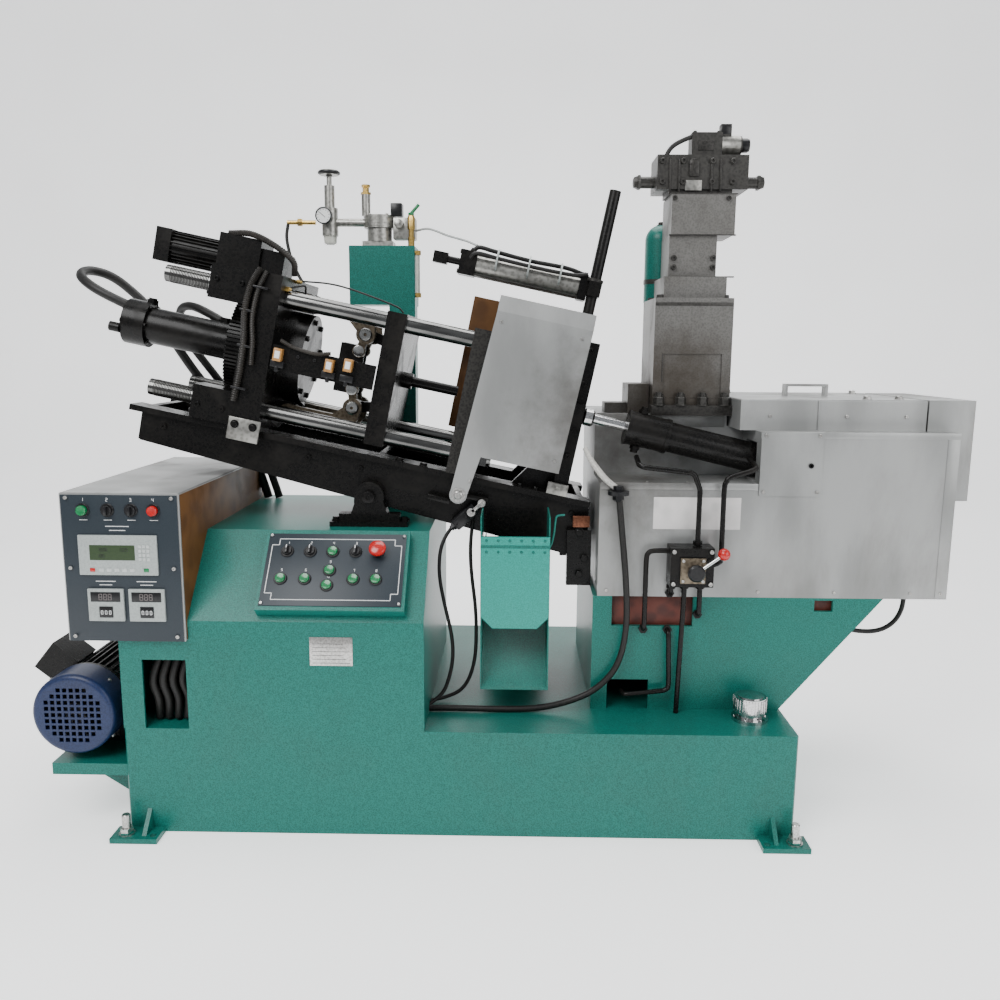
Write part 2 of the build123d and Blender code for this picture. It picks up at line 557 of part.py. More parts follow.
# Adjusting gear and the gear nuts of the tie bars
GEAR_TEETH = 90
GEAR_BORE = 90.0
gear_u0, gear_u1 = TAIL_U - 50, TAIL_U - 4
gear_outer, gear_root = 138.0, 131.0
gear_points = []
for k in range(GEAR_TEETH):
    for part, radius in ((0.0, gear_root), (0.28, gear_root), (0.42, gear_outer), (0.86, gear_outer)):
        a = 2 * pi * (k + part) / GEAR_TEETH
        gear_points.append((radius * cos(a), radius * sin(a)))
gear_face = Plane.YZ * make_face(Polyline(*gear_points, close=True))
gear = Pos(gear_u0, 0, 0) * extrude(gear_face, amount=gear_u1 - gear_u0)
gear -= rod_x(0, 0, GEAR_BORE, gear_u0 - 1, gear_u1 + 1)
save("ring_gear", clamp(gear))

housings = []
for y, w in tie_places():
    sy, sw = (1 if y > 0 else -1), (1 if w > 0 else -1)
    y0, y1 = sorted((sy * (HALF_BAR - 34), sy * (HALF_BAR + 44)))
    w0, w1 = sorted((sw * (HALF_BAR - 34), sw * (HALF_BAR + 46)))
    block = slab(TAIL_U - 94, TAIL_U, y0, y1, w0, w1)
    block -= rod_x(0, 0, gear_outer + 5, TAIL_U - 95, TAIL_U + 1)
    block -= rod_x(y, w, BAR_RADIUS + SLIDE_FIT, TAIL_U - 95, TAIL_U + 1)
    housings.append(clamp(block))
save("bar_nut_housings", Compound(children=housings))

# Clamp cylinder behind the tail platen
clamp_cyl = rod_x(0, 0, 46, -585, TAIL_U)
clamp_cyl += rod_x(0, 0, 57, -643, -585)
clamp_cyl += rod_x(0, 0, GEAR_BORE - SLIDE_FIT, TAIL_U - 56, TAIL_U)
clamp_cyl += rod_x(-50, -20, 12, -668, -643)
clamp_cyl -= rod_x(0, 0, PISTON_ROD_RADIUS + 1, TAIL_U - 80, TAIL_U + 1)
save("clamp_cylinder", clamp(clamp_cyl))

# Gear motor for die height adjustment
gm_y, gm_w = -48.0, 203.0
gear_motor = rod_x(gm_y, gm_w, 34, -560, -415)
for k in range(24):
    fin = Pos(0, 36, 0) * Box(120, 8, 2.2)
    gear_motor += Pos(-478, gm_y, gm_w) * Rot(k * 15, 0, 0) * fin
gear_motor += slab(-572, -535, gm_y - 40, gm_y + 40, gm_w - 40, gm_w + 40)
gear_motor += slab(-415, -312, gm_y - 50, gm_y + 58, gm_w - 48, gm_w + 58)
gear_motor += slab(-312, -255, gm_y - 40, gm_y + 58, TAIL_TOP, gm_w + 40)
save("gear_motor", clamp(gear_motor))

# Moving platen with its lugs
moving_u1 = MOVING_U + MOVING_PLATE
platen = slab(MOVING_U, moving_u1, -MOVING_SIZE[1] / 2, MOVING_SIZE[1] / 2, -MOVING_SIZE[0] / 2, MOVING_SIZE[0] / 2)
for sw in (-1, 1):
    for sy in (-1, 1):
        y0, y1 = sorted((sy * CROSS_LINK_Y[0], sy * CROSS_LINK_Y[1]))
        platen += rod_y(PLATEN_PIN[0] - 6, sw * PLATEN_PIN[1], EYE_RADIUS, y0, y1)
    platen -= slab(
        MOVING_U - 1, MOVING_U + 40, -FRONT_LINK_HALF - 3, FRONT_LINK_HALF + 3,
        min(sw * 38, sw * 112), max(sw * 38, sw * 112),
    )
for y, w in tie_places():
    platen -= rod_x(y, w, BAR_RADIUS + SLIDE_FIT, MOVING_U - 1, moving_u1 + 1)
platen += rod_x(0, 0, 20, moving_u1, moving_u1 + 24)
platen += rod_x(0, 0, 13, moving_u1 + 24, FIXED_U - 20)
for sw in (-1, 1):
    platen += rod_y(PLATEN_PIN[0], sw * PLATEN_PIN[1], PIN_RADIUS - 1, -CROSS_LINK_Y[1], CROSS_LINK_Y[1])
save("moving_platen", clamp(platen))

# Fixed platen
fixed_u1 = FIXED_U + FIXED_PLATE
fixed = slab(FIXED_U, fixed_u1, -FIXED_SIZE[1] / 2, FIXED_SIZE[1] / 2, BEAM_TOP_W, FIXED_SIZE[0] / 2)
for y, w in tie_places():
    fixed -= rod_x(y, w, BAR_RADIUS + SLIDE_FIT, FIXED_U - 1, fixed_u1 + 1)
fixed -= rod_x(0, 0, 34, FIXED_U - 1, fixed_u1 + 1)
save("fixed_platen", clamp(fixed))

# Nose frame that holds the nozzle side of the clamp unit
nose = slab(500, 536, -BEAM_HALF_WIDTH, BEAM_HALF_WIDTH, BEAM_TOP_W, 190)
nose -= rod_x(0, 0, 40, 499, 537)
for sy in (-1, 1):
    y0, y1 = sorted((sy * 96, sy * 112))
    nose += plate_y([(400, BEAM_TOP_W), (500, BEAM_TOP_W), (500, -40)], y0, y1)
nose += slab(505, 531, -192, -BEAM_HALF_WIDTH, -10, 42)
nose += rod_z(497, -60, 14, 180, 556)
save("nose_frame", clamp(nose))


def link(a, b, width, y0, y1, radius):
    """Straight link between two pin centres."""
    length = sqrt((b[0] - a[0]) ** 2 + (b[1] - a[1]) ** 2)
    angle = degrees(atan2(b[1] - a[1], b[0] - a[0]))
    bar = Pos((a[0] + b[0]) / 2, (y0 + y1) / 2, (a[1] + b[1]) / 2) * Rot(0, -angle, 0) * Box(length, y1 - y0, width)
    return bar + rod_y(a[0], a[1], radius, y0, y1) + rod_y(b[0], b[1], radius, y0, y1)


def mirrored(shape, sw):
    """The upper link as drawn, or turned over for the lower one."""
    return shape if sw > 0 else mirror(shape, about=Plane.XY)


for sw, tag in ((1, "upper"), (-1, "lower")):
    rear = None
    for sy in (-1, 1):
        y0, y1 = sorted((sy * REAR_LINK_Y[0], sy * REAR_LINK_Y[1]))
        arm = [(-190, 118), (-78, 118), (-54, 96), (-10, 96), (-14, 122), (-34, 158), (-190, 158)]
        plate = plate_y(arm, y0, y1)
        plate += rod_y(TAIL_PIN[0], TAIL_PIN[1], 22, y0, y1) + rod_y(KNUCKLE[0], KNUCKLE[1], 24, y0, y1)
        plate -= rod_y(TAIL_PIN[0], TAIL_PIN[1], PIN_RADIUS + SLIDE_FIT, y0 - 1, y1 + 1)
        outer0, outer1 = sorted((sy * REAR_LINK_Y[1], sy * (REAR_LINK_Y[1] + 5)))
        plate += rod_y(KNUCKLE[0], KNUCKLE[1], 14, outer0, outer1)
        rear = plate if rear is None else rear + plate
    rear += slab(-150, -110, -REAR_LINK_Y[0], REAR_LINK_Y[0], 132, 150)
    save(f"rear_link_{tag}", clamp(mirrored(rear, sw)))
    front = link(KNUCKLE, PLATEN_PIN, 26, -FRONT_LINK_HALF, FRONT_LINK_HALF, 18)
    front -= rod_y(PLATEN_PIN[0], PLATEN_PIN[1], PIN_RADIUS - 1 + SLIDE_FIT, -30, 30)
    save(f"front_link_{tag}", clamp(mirrored(front, sw)))
    cross = []
    for sy in (-1, 1):
        y0, y1 = sorted((sy * CROSS_LINK_Y[0], sy * CROSS_LINK_Y[1]))
        piece = link(CROSS_PIN, KNUCKLE, 20, y0, y1, 16)
        piece -= rod_y(CROSS_PIN[0], CROSS_PIN[1], PIN_RADIUS - 1 + SLIDE_FIT, y0 - 1, y1 + 1)
        cross.append(clamp(mirrored(piece, sw)))
    save(f"cross_links_{tag}", Compound(children=cross))

crosshead = slab(-95, -50, -CHEEK_Y[1], CHEEK_Y[1], -26, 26)
for sy in (-1, 1):
    y0, y1 = sorted((sy * CHEEK_Y[0], sy * CHEEK_Y[1]))
    crosshead += slab(-95, CROSS_PIN[0] + 12, y0, y1, -62, 62)
    for sw in (-1, 1):
        y0, y1 = sorted((sy * CHEEK_Y[0], sy * (CROSS_LINK_Y[1] + 1.5)))
        crosshead += rod_y(CROSS_PIN[0], sw * CROSS_PIN[1], PIN_RADIUS - 1, y0, y1)
crosshead += rod_x(0, 0, PISTON_ROD_RADIUS, TAIL_U + 20, -95)
save("crosshead", clamp(crosshead))

# Switch rail
rail = slab(TAIL_U + TAIL_PLATE, 26, -184, -176, -30, 28)
save("switch_rail", clamp(rail))

# Front guard, swung clear of the die space
g0, g1 = GUARD_U
arm_points = [(g0, GUARD_W[1]), (g1, GUARD_W[1]), (g1 - 6, GUARD_W[0]), (g0 + 32, GUARD_W[0]),
              (GUARD_PIVOT[0] + 20, GUARD_PIVOT[1] - 4), (GUARD_PIVOT[0] - 20, GUARD_PIVOT[1] + 2)]
guard = plate_y(arm_points, GUARD_Y, GUARD_Y + GUARD_SHEET)
guard += rod_y(GUARD_PIVOT[0], GUARD_PIVOT[1], 21, GUARD_Y, GUARD_Y + GUARD_SHEET)
lean = [(GUARD_Y, GUARD_W[1] - 1), (GUARD_Y + 12, GUARD_W[1] + 37), (GUARD_Y + 15, GUARD_W[1] + 37), (GUARD_Y + 3, GUARD_W[1] - 1)]
guard += prism_x(lean, g0, g1)
guard -= rod_y(GUARD_PIVOT[0], GUARD_PIVOT[1], 8 + SLIDE_FIT, GUARD_Y - 1, GUARD_Y + GUARD_SHEET + 1)
save("front_guard", clamp(guard))

# Rear guard sheet
rear_guard = slab(200, 498, 196, 199, -110, 255)
rear_guard += slab(FIXED_U, fixed_u1, FIXED_SIZE[1] / 2, 196, 60, 110)
save("rear_guard", clamp(rear_guard))

# Air cylinder over the die space
AIR_Y = -20.0
air = rod_x(AIR_Y, 318, 26, 200, 462)
air += slab(160, 200, AIR_Y - 30, AIR_Y + 30, 288, 348) + slab(462, 483, AIR_Y - 30, AIR_Y + 30, 288, 348)
air += rod_x(AIR_Y, 318, 9, 120, 160) + slab(92, 128, AIR_Y - 14, AIR_Y + 14, 304, 332)
air += slab(483, 514, -82, AIR_Y + 12, 300, 336) - rod_z(497, -60, 14 + SLIDE_FIT, 299, 337)
save("air_cylinder", clamp(air))

# Lubricator tank on its column
stand_x1 = -160.0
lub_stand = slab(stand_x1 - 72, stand_x1, 205, 265, PEDESTAL_DECK_Z, 1237)
tank = slab(stand_x1 - 182, stand_x1, 205, 300, 1237, 1396)
tank = fillet(tank.edges().filter_by(Axis.Z), 4)
save("lubricator_tank", tank + lub_stand)
unit_y = 250.0
service = slab(-306, -222, unit_y - 30, unit_y + 30, 1396, 1410)
service += rod_z(-262, unit_y, 34, 1410, 1446) + rod_z(-262, unit_y, 42, 1446, 1480)
service += rod_z(-299, unit_y, 12, 1480, 1537)
service += rod_x(unit_y, 1462, 11, -420, -262)
service += rod_z(-400, unit_y, 22, 1426, 1500) + rod_z(-400, unit_y, 14, 1500, 1560)
service += rod_z(-400, unit_y, 7, 1560, 1588) + rod_z(-400, unit_y, 26, 1588, 1600)
service += rod_y(-409, 1475, 22, unit_y - 40, unit_y - 20)
save("air_service_unit", service)

# Parts chute under the well of the beam
CHUTE_X = (42.0, 203.0)
CHUTE_SHEET = 3.0
side = [(-305, 325), (-305, 738), (-172, 738), (-172, 620), (108, 620), (108, 604)]
chute = prism_x(side, CHUTE_X[0], CHUTE_X[0] + CHUTE_SHEET) + prism_x(side, CHUTE_X[1] - CHUTE_SHEET, CHUTE_X[1])
floor = [(-305, 325), (108, 604), (108, 600), (-305, 321)]
chute += prism_x(floor, CHUTE_X[0], CHUTE_X[1])
flap = [(CHUTE_X[0], 692), (CHUTE_X[1], 692), (CHUTE_X[1], 500), (CHUTE_X[1] - 28, 472), (CHUTE_X[0] + 28, 472), (CHUTE_X[0], 500)]
chute += plate_y(flap, -308, -305)
chute += slab(CHUTE_X[0], CHUTE_X[1], 60, 68, BED_HEIGHT, 570)
save("parts_chute", chute)

# Rigid pipes of the hand valve
py = -stand_y - 22
pipes = [
    pipe([(407, -215, 868), (407, py, 852), (533, py, 838), (548, py, 800), (548, py, 668.5)], 6, 18),
    pipe([(VALVE_X - 10, py, VALVE_Z - 46), (VALVE_X - 10, py, 540), (VALVE_X - 18, py, 256)], 6, 18),
]
save("hydraulic_pipes", Compound(children=pipes))
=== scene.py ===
"""Looks of a small hot-chamber die casting machine, dressed over its CAD part."""
import math

import bmesh
import bpy
from mathutils import Matrix, Vector


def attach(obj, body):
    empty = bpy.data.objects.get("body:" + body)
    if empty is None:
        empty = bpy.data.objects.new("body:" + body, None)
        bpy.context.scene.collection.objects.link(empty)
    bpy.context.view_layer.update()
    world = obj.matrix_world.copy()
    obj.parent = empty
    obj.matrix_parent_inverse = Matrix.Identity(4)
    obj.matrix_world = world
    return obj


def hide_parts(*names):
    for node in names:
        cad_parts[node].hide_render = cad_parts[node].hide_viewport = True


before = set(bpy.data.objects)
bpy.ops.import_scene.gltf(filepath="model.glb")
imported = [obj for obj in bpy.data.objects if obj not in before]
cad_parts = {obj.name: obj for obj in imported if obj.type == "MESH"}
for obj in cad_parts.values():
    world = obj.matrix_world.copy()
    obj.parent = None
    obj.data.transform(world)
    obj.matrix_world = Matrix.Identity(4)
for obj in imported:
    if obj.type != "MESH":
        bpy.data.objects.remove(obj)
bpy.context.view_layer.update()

scene = bpy.context.scene

# Camera: stands before the machine, a little right of its middle and above the console,
# looking slightly down. Placed by the photo's vanishing points.
LENS = 31.86
VIEW = (
    (0.99985371, -0.00949113, 0.01422968, 0.11524),
    (0.01560064, 0.16492106, -0.98618338, -2.300),
    (0.00701322, 0.98626110, 0.16504500, 1.1105),
    (0.0, 0.0, 0.0, 1.0),
)
camera_data = bpy.data.cameras.new("camera")
camera_data.lens = LENS
camera_data.sensor_width = 36.0
camera = bpy.data.objects.new("camera", camera_data)
camera.matrix_world = Matrix(VIEW)
scene.collection.objects.link(camera)
scene.camera = camera


# Rubber hoses and cables: black extruded jacket, matte, each glanded at both ends. The furnace conduit
# lies on the bed, two leads hang beside the pedestal, and two hoses loop behind the clamp cylinder
# down to the deck; none of them is clipped on its way.
def node_group(name, inputs, outputs):
    """Empty shader group with its sockets; returns group, inputs node and outputs node."""
    group = bpy.data.node_groups.new(name, "ShaderNodeTree")
    for label, kind, value in inputs:
        socket = group.interface.new_socket(label, in_out="INPUT", socket_type=kind)
        socket.default_value = value
    for label, kind in outputs:
        group.interface.new_socket(label, in_out="OUTPUT", socket_type=kind)
    return group, group.nodes.new("NodeGroupInput"), group.nodes.new("NodeGroupOutput")


def ranged(nodes, links, source, low, high, to_low=0.0, to_high=1.0):
    """Map Range node that turns low..high of a value into to_low..to_high."""
    node = nodes.new("ShaderNodeMapRange")
    node.interpolation_type = "SMOOTHSTEP"
    node.inputs["From Min"].default_value = low
    node.inputs["From Max"].default_value = high
    node.inputs["To Min"].default_value = to_low
    node.inputs["To Max"].default_value = to_high
    links.new(source, node.inputs["Value"])
    return node.outputs["Result"]


marks, marks_in, marks_out = node_group(
    "surface_marks",
    [("Cells", "NodeSocketFloat", 250.0), ("Cloud", "NodeSocketFloat", 5.0), ("Dirt", "NodeSocketFloat",
                                                                              0.3),
     ("Stretch", "NodeSocketVector", (1.0, 1.0, 1.0))], [("Tone", "NodeSocketFloat"),
                                                         ("Stain", "NodeSocketFloat"),
                                                         ("Height", "NodeSocketFloat")],
)
scaled = marks.nodes.new("ShaderNodeVectorMath")
scaled.operation = "MULTIPLY"
marks.links.new(marks.nodes.new("ShaderNodeTexCoord").outputs["Object"], scaled.inputs[0])
marks.links.new(marks_in.outputs["Stretch"], scaled.inputs[1])
place = scaled.outputs["Vector"]
cells = marks.nodes.new("ShaderNodeTexVoronoi")
cells.feature = "SMOOTH_F1"
marks.links.new(place, cells.inputs["Vector"])
marks.links.new(marks_in.outputs["Cells"], cells.inputs["Scale"])
fine = marks.nodes.new("ShaderNodeTexNoise")
fine.inputs["Detail"].default_value = 6.0
fine.inputs["Roughness"].default_value = 0.65
marks.links.new(place, fine.inputs["Vector"])
marks.links.new(marks_in.outputs["Cells"], fine.inputs["Scale"])
cloud = marks.nodes.new("ShaderNodeTexNoise")
cloud.inputs["Detail"].default_value = 8.0
cloud.inputs["Roughness"].default_value = 0.62
cloud.inputs["Distortion"].default_value = 0.4
marks.links.new(place, cloud.inputs["Vector"])
marks.links.new(marks_in.outputs["Cloud"], cloud.inputs["Scale"])
stain = marks.nodes.new("ShaderNodeMath")
stain.operation = "MULTIPLY"
marks.links.new(ranged(marks.nodes, marks.links, cloud.outputs["Fac"], 0.46, 0.68), stain.inputs[0])
marks.links.new(marks_in.outputs["Dirt"], stain.inputs[1])
tone = marks.nodes.new("ShaderNodeMath")
tone.operation = "MULTIPLY_ADD"
tone.inputs[1].default_value = 0.55
marks.links.new(fine.outputs["Fac"], tone.inputs[0])
marks.links.new(ranged(marks.nodes, marks.links, cells.outputs["Distance"], 0.0, 0.7, 0.0, 0.45),
                tone.inputs[2])
marks.links.new(tone.outputs["Value"], marks_out.inputs["Tone"])
marks.links.new(stain.outputs["Value"], marks_out.inputs["Stain"])
marks.links.new(cells.outputs["Distance"], marks_out.inputs["Height"])

soot, soot_in, soot_out = node_group(
    "heat_soot",
    [("Centre", "NodeSocketVector", (0.0, 0.0, 0.0)), ("Reach", "NodeSocketFloat", 0.3),
     ("Strength", "NodeSocketFloat", 0.0)],
    [("Mask", "NodeSocketFloat")],
)
here = soot.nodes.new("ShaderNodeTexCoord").outputs["Object"]
away = soot.nodes.new("ShaderNodeVectorMath")
away.operation = "DISTANCE"
soot.links.new(here, away.inputs[0])
soot.links.new(soot_in.outputs["Centre"], away.inputs[1])
share = soot.nodes.new("ShaderNodeMath")
share.operation = "DIVIDE"
soot.links.new(away.outputs["Value"], share.inputs[0])
soot.links.new(soot_in.outputs["Reach"], share.inputs[1])
wisps = soot.nodes.new("ShaderNodeTexNoise")
wisps.inputs["Scale"].default_value = 14.0
wisps.inputs["Detail"].default_value = 7.0
wisps.inputs["Roughness"].default_value = 0.68
soot.links.new(here, wisps.inputs["Vector"])
edge = soot.nodes.new("ShaderNodeMath")
edge.operation = "MULTIPLY_ADD"
edge.inputs[1].default_value = 0.9
soot.links.new(wisps.outputs["Fac"], edge.inputs[0])
soot.links.new(share.outputs["Value"], edge.inputs[2])
amount = soot.nodes.new("ShaderNodeMath")
amount.operation = "MULTIPLY"
soot.links.new(ranged(soot.nodes, soot.links, edge.outputs["Value"], 0.55, 1.35, 1.0, 0.0),
               amount.inputs[0])
soot.links.new(soot_in.outputs["Strength"], amount.inputs[1])
soot.links.new(amount.outputs["Value"], soot_out.inputs["Mask"])

FINISHES = {}


def finish(
    name, low, high, rough, metal=0.0, coat=0.0, cells=250.0, cloud=5.0, dirt=0.2,
    dirt_color=(0.045, 0.036, 0.028), bump=0.05, glow=0.0, clear=0.0, stretch=(1.0, 1.0, 1.0),
    shine=0.5, heat=None,
):
    """Procedural material: two tones in fine cells, cloudy dirt, soot near a hot spot and a fine bump."""
    made = bpy.data.materials.new(name)
    made.use_nodes = True
    nodes, links = made.node_tree.nodes, made.node_tree.links
    shader = nodes["Principled BSDF"]
    group = nodes.new("ShaderNodeGroup")
    group.node_tree = marks
    group.inputs["Cells"].default_value = cells
    group.inputs["Cloud"].default_value = cloud
    group.inputs["Dirt"].default_value = dirt
    group.inputs["Stretch"].default_value = stretch
    tones = nodes.new("ShaderNodeMix")
    tones.data_type = "RGBA"
    tones.inputs[6].default_value = (*low, 1.0)
    tones.inputs[7].default_value = (*high, 1.0)
    links.new(ranged(nodes, links, group.outputs["Tone"], 0.3, 0.75), tones.inputs[0])
    dirty = nodes.new("ShaderNodeMix")
    dirty.data_type = "RGBA"
    dirty.inputs[7].default_value = (*dirt_color, 1.0)
    links.new(group.outputs["Stain"], dirty.inputs[0])
    links.new(tones.outputs[2], dirty.inputs[6])
    colour = dirty.outputs[2]
    if heat:
        burnt = nodes.new("ShaderNodeGroup")
        burnt.node_tree = soot
        burnt.inputs["Centre"].default_value = heat[:3]
        burnt.inputs["Reach"].default_value = heat[3]
        burnt.inputs["Strength"].default_value = heat[4]
        black = nodes.new("ShaderNodeMix")
        black.data_type = "RGBA"
        black.inputs[7].default_value = (0.035, 0.026, 0.017, 1.0)
        links.new(burnt.outputs["Mask"], black.inputs[0])
        links.new(colour, black.inputs[6])
        colour = black.outputs[2]
    links.new(colour, shader.inputs["Base Color"])
    shader.inputs["Specular IOR Level"].default_value = shine
    links.new(ranged(nodes, links, group.outputs["Stain"], 0.0, 0.6, rough, min(1.0, rough + 0.25)),
              shader.inputs["Roughness"])
    shader.inputs["Metallic"].default_value = metal
    shader.inputs["Coat Weight"].default_value = coat
    shader.inputs["Transmission Weight"].default_value = clear
    relief = nodes.new("ShaderNodeBump")
    relief.inputs["Strength"].default_value = bump
    relief.inputs["Distance"].default_value = 0.002
    links.new(group.outputs["Height"], relief.inputs["Height"])
    links.new(relief.outputs["Normal"], shader.inputs["Normal"])
    if glow:
        links.new(colour, shader.inputs["Emission Color"])
        shader.inputs["Emission Strength"].default_value = glow
    FINISHES[name] = made


finish("black_hose", (0.006, 0.006, 0.006), (0.014, 0.013, 0.012), 0.46, dirt=0.2,
       dirt_color=(0.02, 0.018, 0.015), shine=0.3)
CONDUIT = [
    (360, -272, 799), (372, -274, 690), (384, -276, 580), (390, -274, 470), (374, -272, 375),
    (330, -271, 318), (275, -268, 284), (185, -280, 264), (72, -286, 264.5), (-30, -281, 264),
    (-80.2, -284, 264.5),
]
SWITCH_LEAD = [
    (-81.5, -268, 268), (-52, -250, 282), (-36, -238, 320), (-26, -232, 372), (-29, -230, 430),
    (-47, -229, 505), (-61, -222, 572), (-61, -206, 628), (-50, -186, 664), (-34, -172, 684),
]
SENSOR_LEAD = [
    (-81.5, -232, 262), (-40, -214, 264), (2, -200, 284), (25, -194, 345), (29, -190, 420), (26, -186, 492),
    (17, -180, 556), (12, -172, 616), (14, -162, 672), (20, -154, 716),
]
CLAMP_HOSE = [
    (-871, -6, 1222), (-921, -15, 1246), (-974, -4, 1276), (-1012, 36, 1302), (-1010, 92, 1318),
    (-968, 134, 1306), (-915, 152, 1258), (-868, 156, 1208), (-834, 156, 1158), (-803, 158, 1105),
    (-768, 162, 1050), (-728, 168, 995), (-688, 180, 930), (-645, 196, 850), (-610, 212, 770),
    (-592, 222, 692),
]
RETURN_HOSE = [
    (-634, 22, 1180), (-682, 32, 1207), (-733, 60, 1226), (-776, 104, 1222), (-797, 142, 1190),
    (-786, 166, 1138), (-752, 178, 1086), (-712, 186, 1030), (-670, 194, 965), (-630, 204, 885),
    (-588, 214, 795), (-560, 220, 692),
]
REAR_CABLE = [
    (1128, -60, 537.2), (1136, -61, 480), (1118, -60, 425), (1075, -58, 396), (1015, -57, 396),
    (960, -56, 412), (910.5, -55, 428),
]


def cord(name, points, diameter):
    """Free cord along its route, given in millimetres."""
    curve = bpy.data.curves.new(name, "CURVE")
    curve.dimensions = "3D"
    curve.bevel_depth = diameter / 2000.0
    curve.bevel_resolution = 5
    curve.use_fill_caps = True
    spline = curve.splines.new("NURBS")
    spline.points.add(len(points) - 1)
    for point, (x, y, z) in zip(spline.points, points):
        point.co = (x / 1000.0, y / 1000.0, z / 1000.0, 1.0)
    spline.order_u = 3
    spline.resolution_u = 8
    spline.use_endpoint_u = True
    curve.materials.append(FINISHES["black_hose"])
    made = bpy.data.objects.new(name, curve)
    scene.collection.objects.link(made)
    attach(made, "frame")


cord("furnace_cable", CONDUIT, 15.0)
cord("switch_lead", SWITCH_LEAD, 9.0)
cord("sensor_lead", SENSOR_LEAD, 9.0)
cord("clamp_loop", CLAMP_HOSE, 24.0)
cord("return_loop", RETURN_HOSE, 22.0)
cord("burner_lead", REAR_CABLE, 12.0)

# Machine body: bed with its anchor feet, operator pedestal, motor shelf and furnace stand, all of
# folded and welded steel plate, sprayed together in green hammertone enamel.
finish("hammertone_green", (0.0, 0.078, 0.060), (0.003, 0.140, 0.112), 0.34, cells=420.0, cloud=3.0,
       dirt=0.10, bump=0.16, shine=0.32)


def dress(material, names):
    """Give one finish to the CAD nodes of these names."""
    for name in names.split():
        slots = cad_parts[name].data.materials
        slots.clear()
        slots.append(FINISHES[material])


dress("hammertone_green", "bed furnace_stand motor_shelf operator_pedestal")

# Console: sheet box on the slope, slate face with a printed white outline, screwed at its corners.
# Buttons are plastic caps in black bezels, pushed through the face and held by nuts.
MM = Matrix.Scale(0.001, 4)
SLOPE_RUN, SLOPE_RISE = 160.0, 178.0
SLOPE_FOOT = (-290, -400, 511)
CONSOLE_MIDDLE = (0, 119, 30)
CONSOLE = (MM @ Matrix.Translation(SLOPE_FOOT) @ Matrix.Rotation(math.atan2(SLOPE_RISE, SLOPE_RUN), 4, "X")
           @ Matrix.Translation(CONSOLE_MIDDLE))
finish("slate_face", (0.014, 0.021, 0.028), (0.018, 0.026, 0.034), 0.42, cells=500.0, dirt=0.05, bump=0.01,
       shine=0.35)
finish("button_plastic", (0.001, 0.120, 0.035), (0.003, 0.170, 0.052), 0.25, coat=0.3, dirt=0.02, bump=0.0)
finish("red_knob", (0.34, 0.003, 0.003), (0.45, 0.007, 0.005), 0.24, coat=0.2, dirt=0.03, bump=0.0)
finish("white_print", (0.62, 0.64, 0.64), (0.72, 0.73, 0.73), 0.5, dirt=0.05, bump=0.0)
finish("black_plastic", (0.005, 0.005, 0.006), (0.010, 0.010, 0.011), 0.30, dirt=0.08, bump=0.02,
       shine=0.35)
finish("zinc_screw", (0.40, 0.39, 0.37), (0.60, 0.59, 0.57), 0.30, metal=1.0, dirt=0.2)
dress("hammertone_green", "console_box")
dress("button_plastic", "console_buttons")


def box(bm, low, high, soft=0.0):
    """Box between two corners, edges rounded by soft."""
    size = [b - a for a, b in zip(low, high)]
    middle = [(a + b) / 2 for a, b in zip(low, high)]
    place = Matrix.Translation(middle) @ Matrix.Diagonal((*size, 1.0))
    made = bmesh.ops.create_cube(bm, size=1.0, matrix=place)
    if soft:
        edges = list({edge for vert in made["verts"] for edge in vert.link_edges})
        bmesh.ops.bevel(bm, geom=edges, offset=soft, affect="EDGES", segments=2, profile=0.5, material=-1)


def turned(bm, base, axis, profile, sides=28):
    """Turned form: (height, radius) steps along an axis from base, spun full circle and closed."""
    turn = Vector(axis).to_track_quat("Z", "Y").to_matrix()
    line = [bm.verts.new(Vector(base) + turn @ Vector((radius, 0, height))) for height, radius in profile]
    edges = [bm.edges.new(pair) for pair in zip(line, line[1:])]
    bmesh.ops.spin(bm, geom=line + edges, cent=base, axis=turn.col[2], angle=math.tau, steps=sides,
                   use_merge=True)
    bmesh.ops.edgeloop_fill(bm, edges=[edge for edge in bm.edges if edge.is_boundary])


def rod(bm, start, end, radius, sides=24):
    """Round bar between two points."""
    axis = Vector(end) - Vector(start)
    turned(bm, start, axis, [(0, radius), (axis.length, radius)], sides)


def bolt(bm, base, axis, size, tall=0.7):
    """Hex head on a washer; size is half the width across corners."""
    turned(bm, base, axis, [(0, size * 1.25), (size * 0.2, size * 1.25)], 20)
    direction = Vector(axis).normalized()
    top = size * (0.2 + tall)
    turned(bm, Vector(base), direction, [(size * 0.15, size), (top * 0.9, size), (top, size * 0.86)], 6)


def screw(bm, base, axis, radius):
    """Round socket-head screw with its hollow key seat."""
    turned(bm, base, axis, [(0, radius), (radius * 0.85, radius), (radius, radius * 0.88),
                            (radius, radius * 0.5), (radius * 0.5, radius * 0.48)], 18)


def prism(bm, outline, y0, y1):
    """Plate with an outline of (x, z) points between two Y planes."""
    face = bm.faces.new([bm.verts.new((x, y0, z)) for x, z in outline])
    moved = bmesh.ops.extrude_face_region(bm, geom=[face])
    verts = [part for part in moved["geom"] if isinstance(part, bmesh.types.BMVert)]
    bmesh.ops.translate(bm, vec=(0, y1 - y0, 0), verts=verts)


def piece(name, bm, material, place=MM, body="frame"):
    """Object of the collected geometry, in one finish, riding on a body."""
    bmesh.ops.recalc_face_normals(bm, faces=bm.faces)
    bmesh.ops.transform(bm, matrix=place, verts=bm.verts)
    mesh = bpy.data.meshes.new(name)
    bm.to_mesh(mesh)
    bm.free()
    for face in mesh.polygons:
        face.use_smooth = True
    mesh.set_sharp_from_angle(angle=math.radians(35))
    mesh.materials.append(FINISHES[material])
    made = bpy.data.objects.new(name, mesh)
    scene.collection.objects.link(made)
    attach(made, body)
    return made


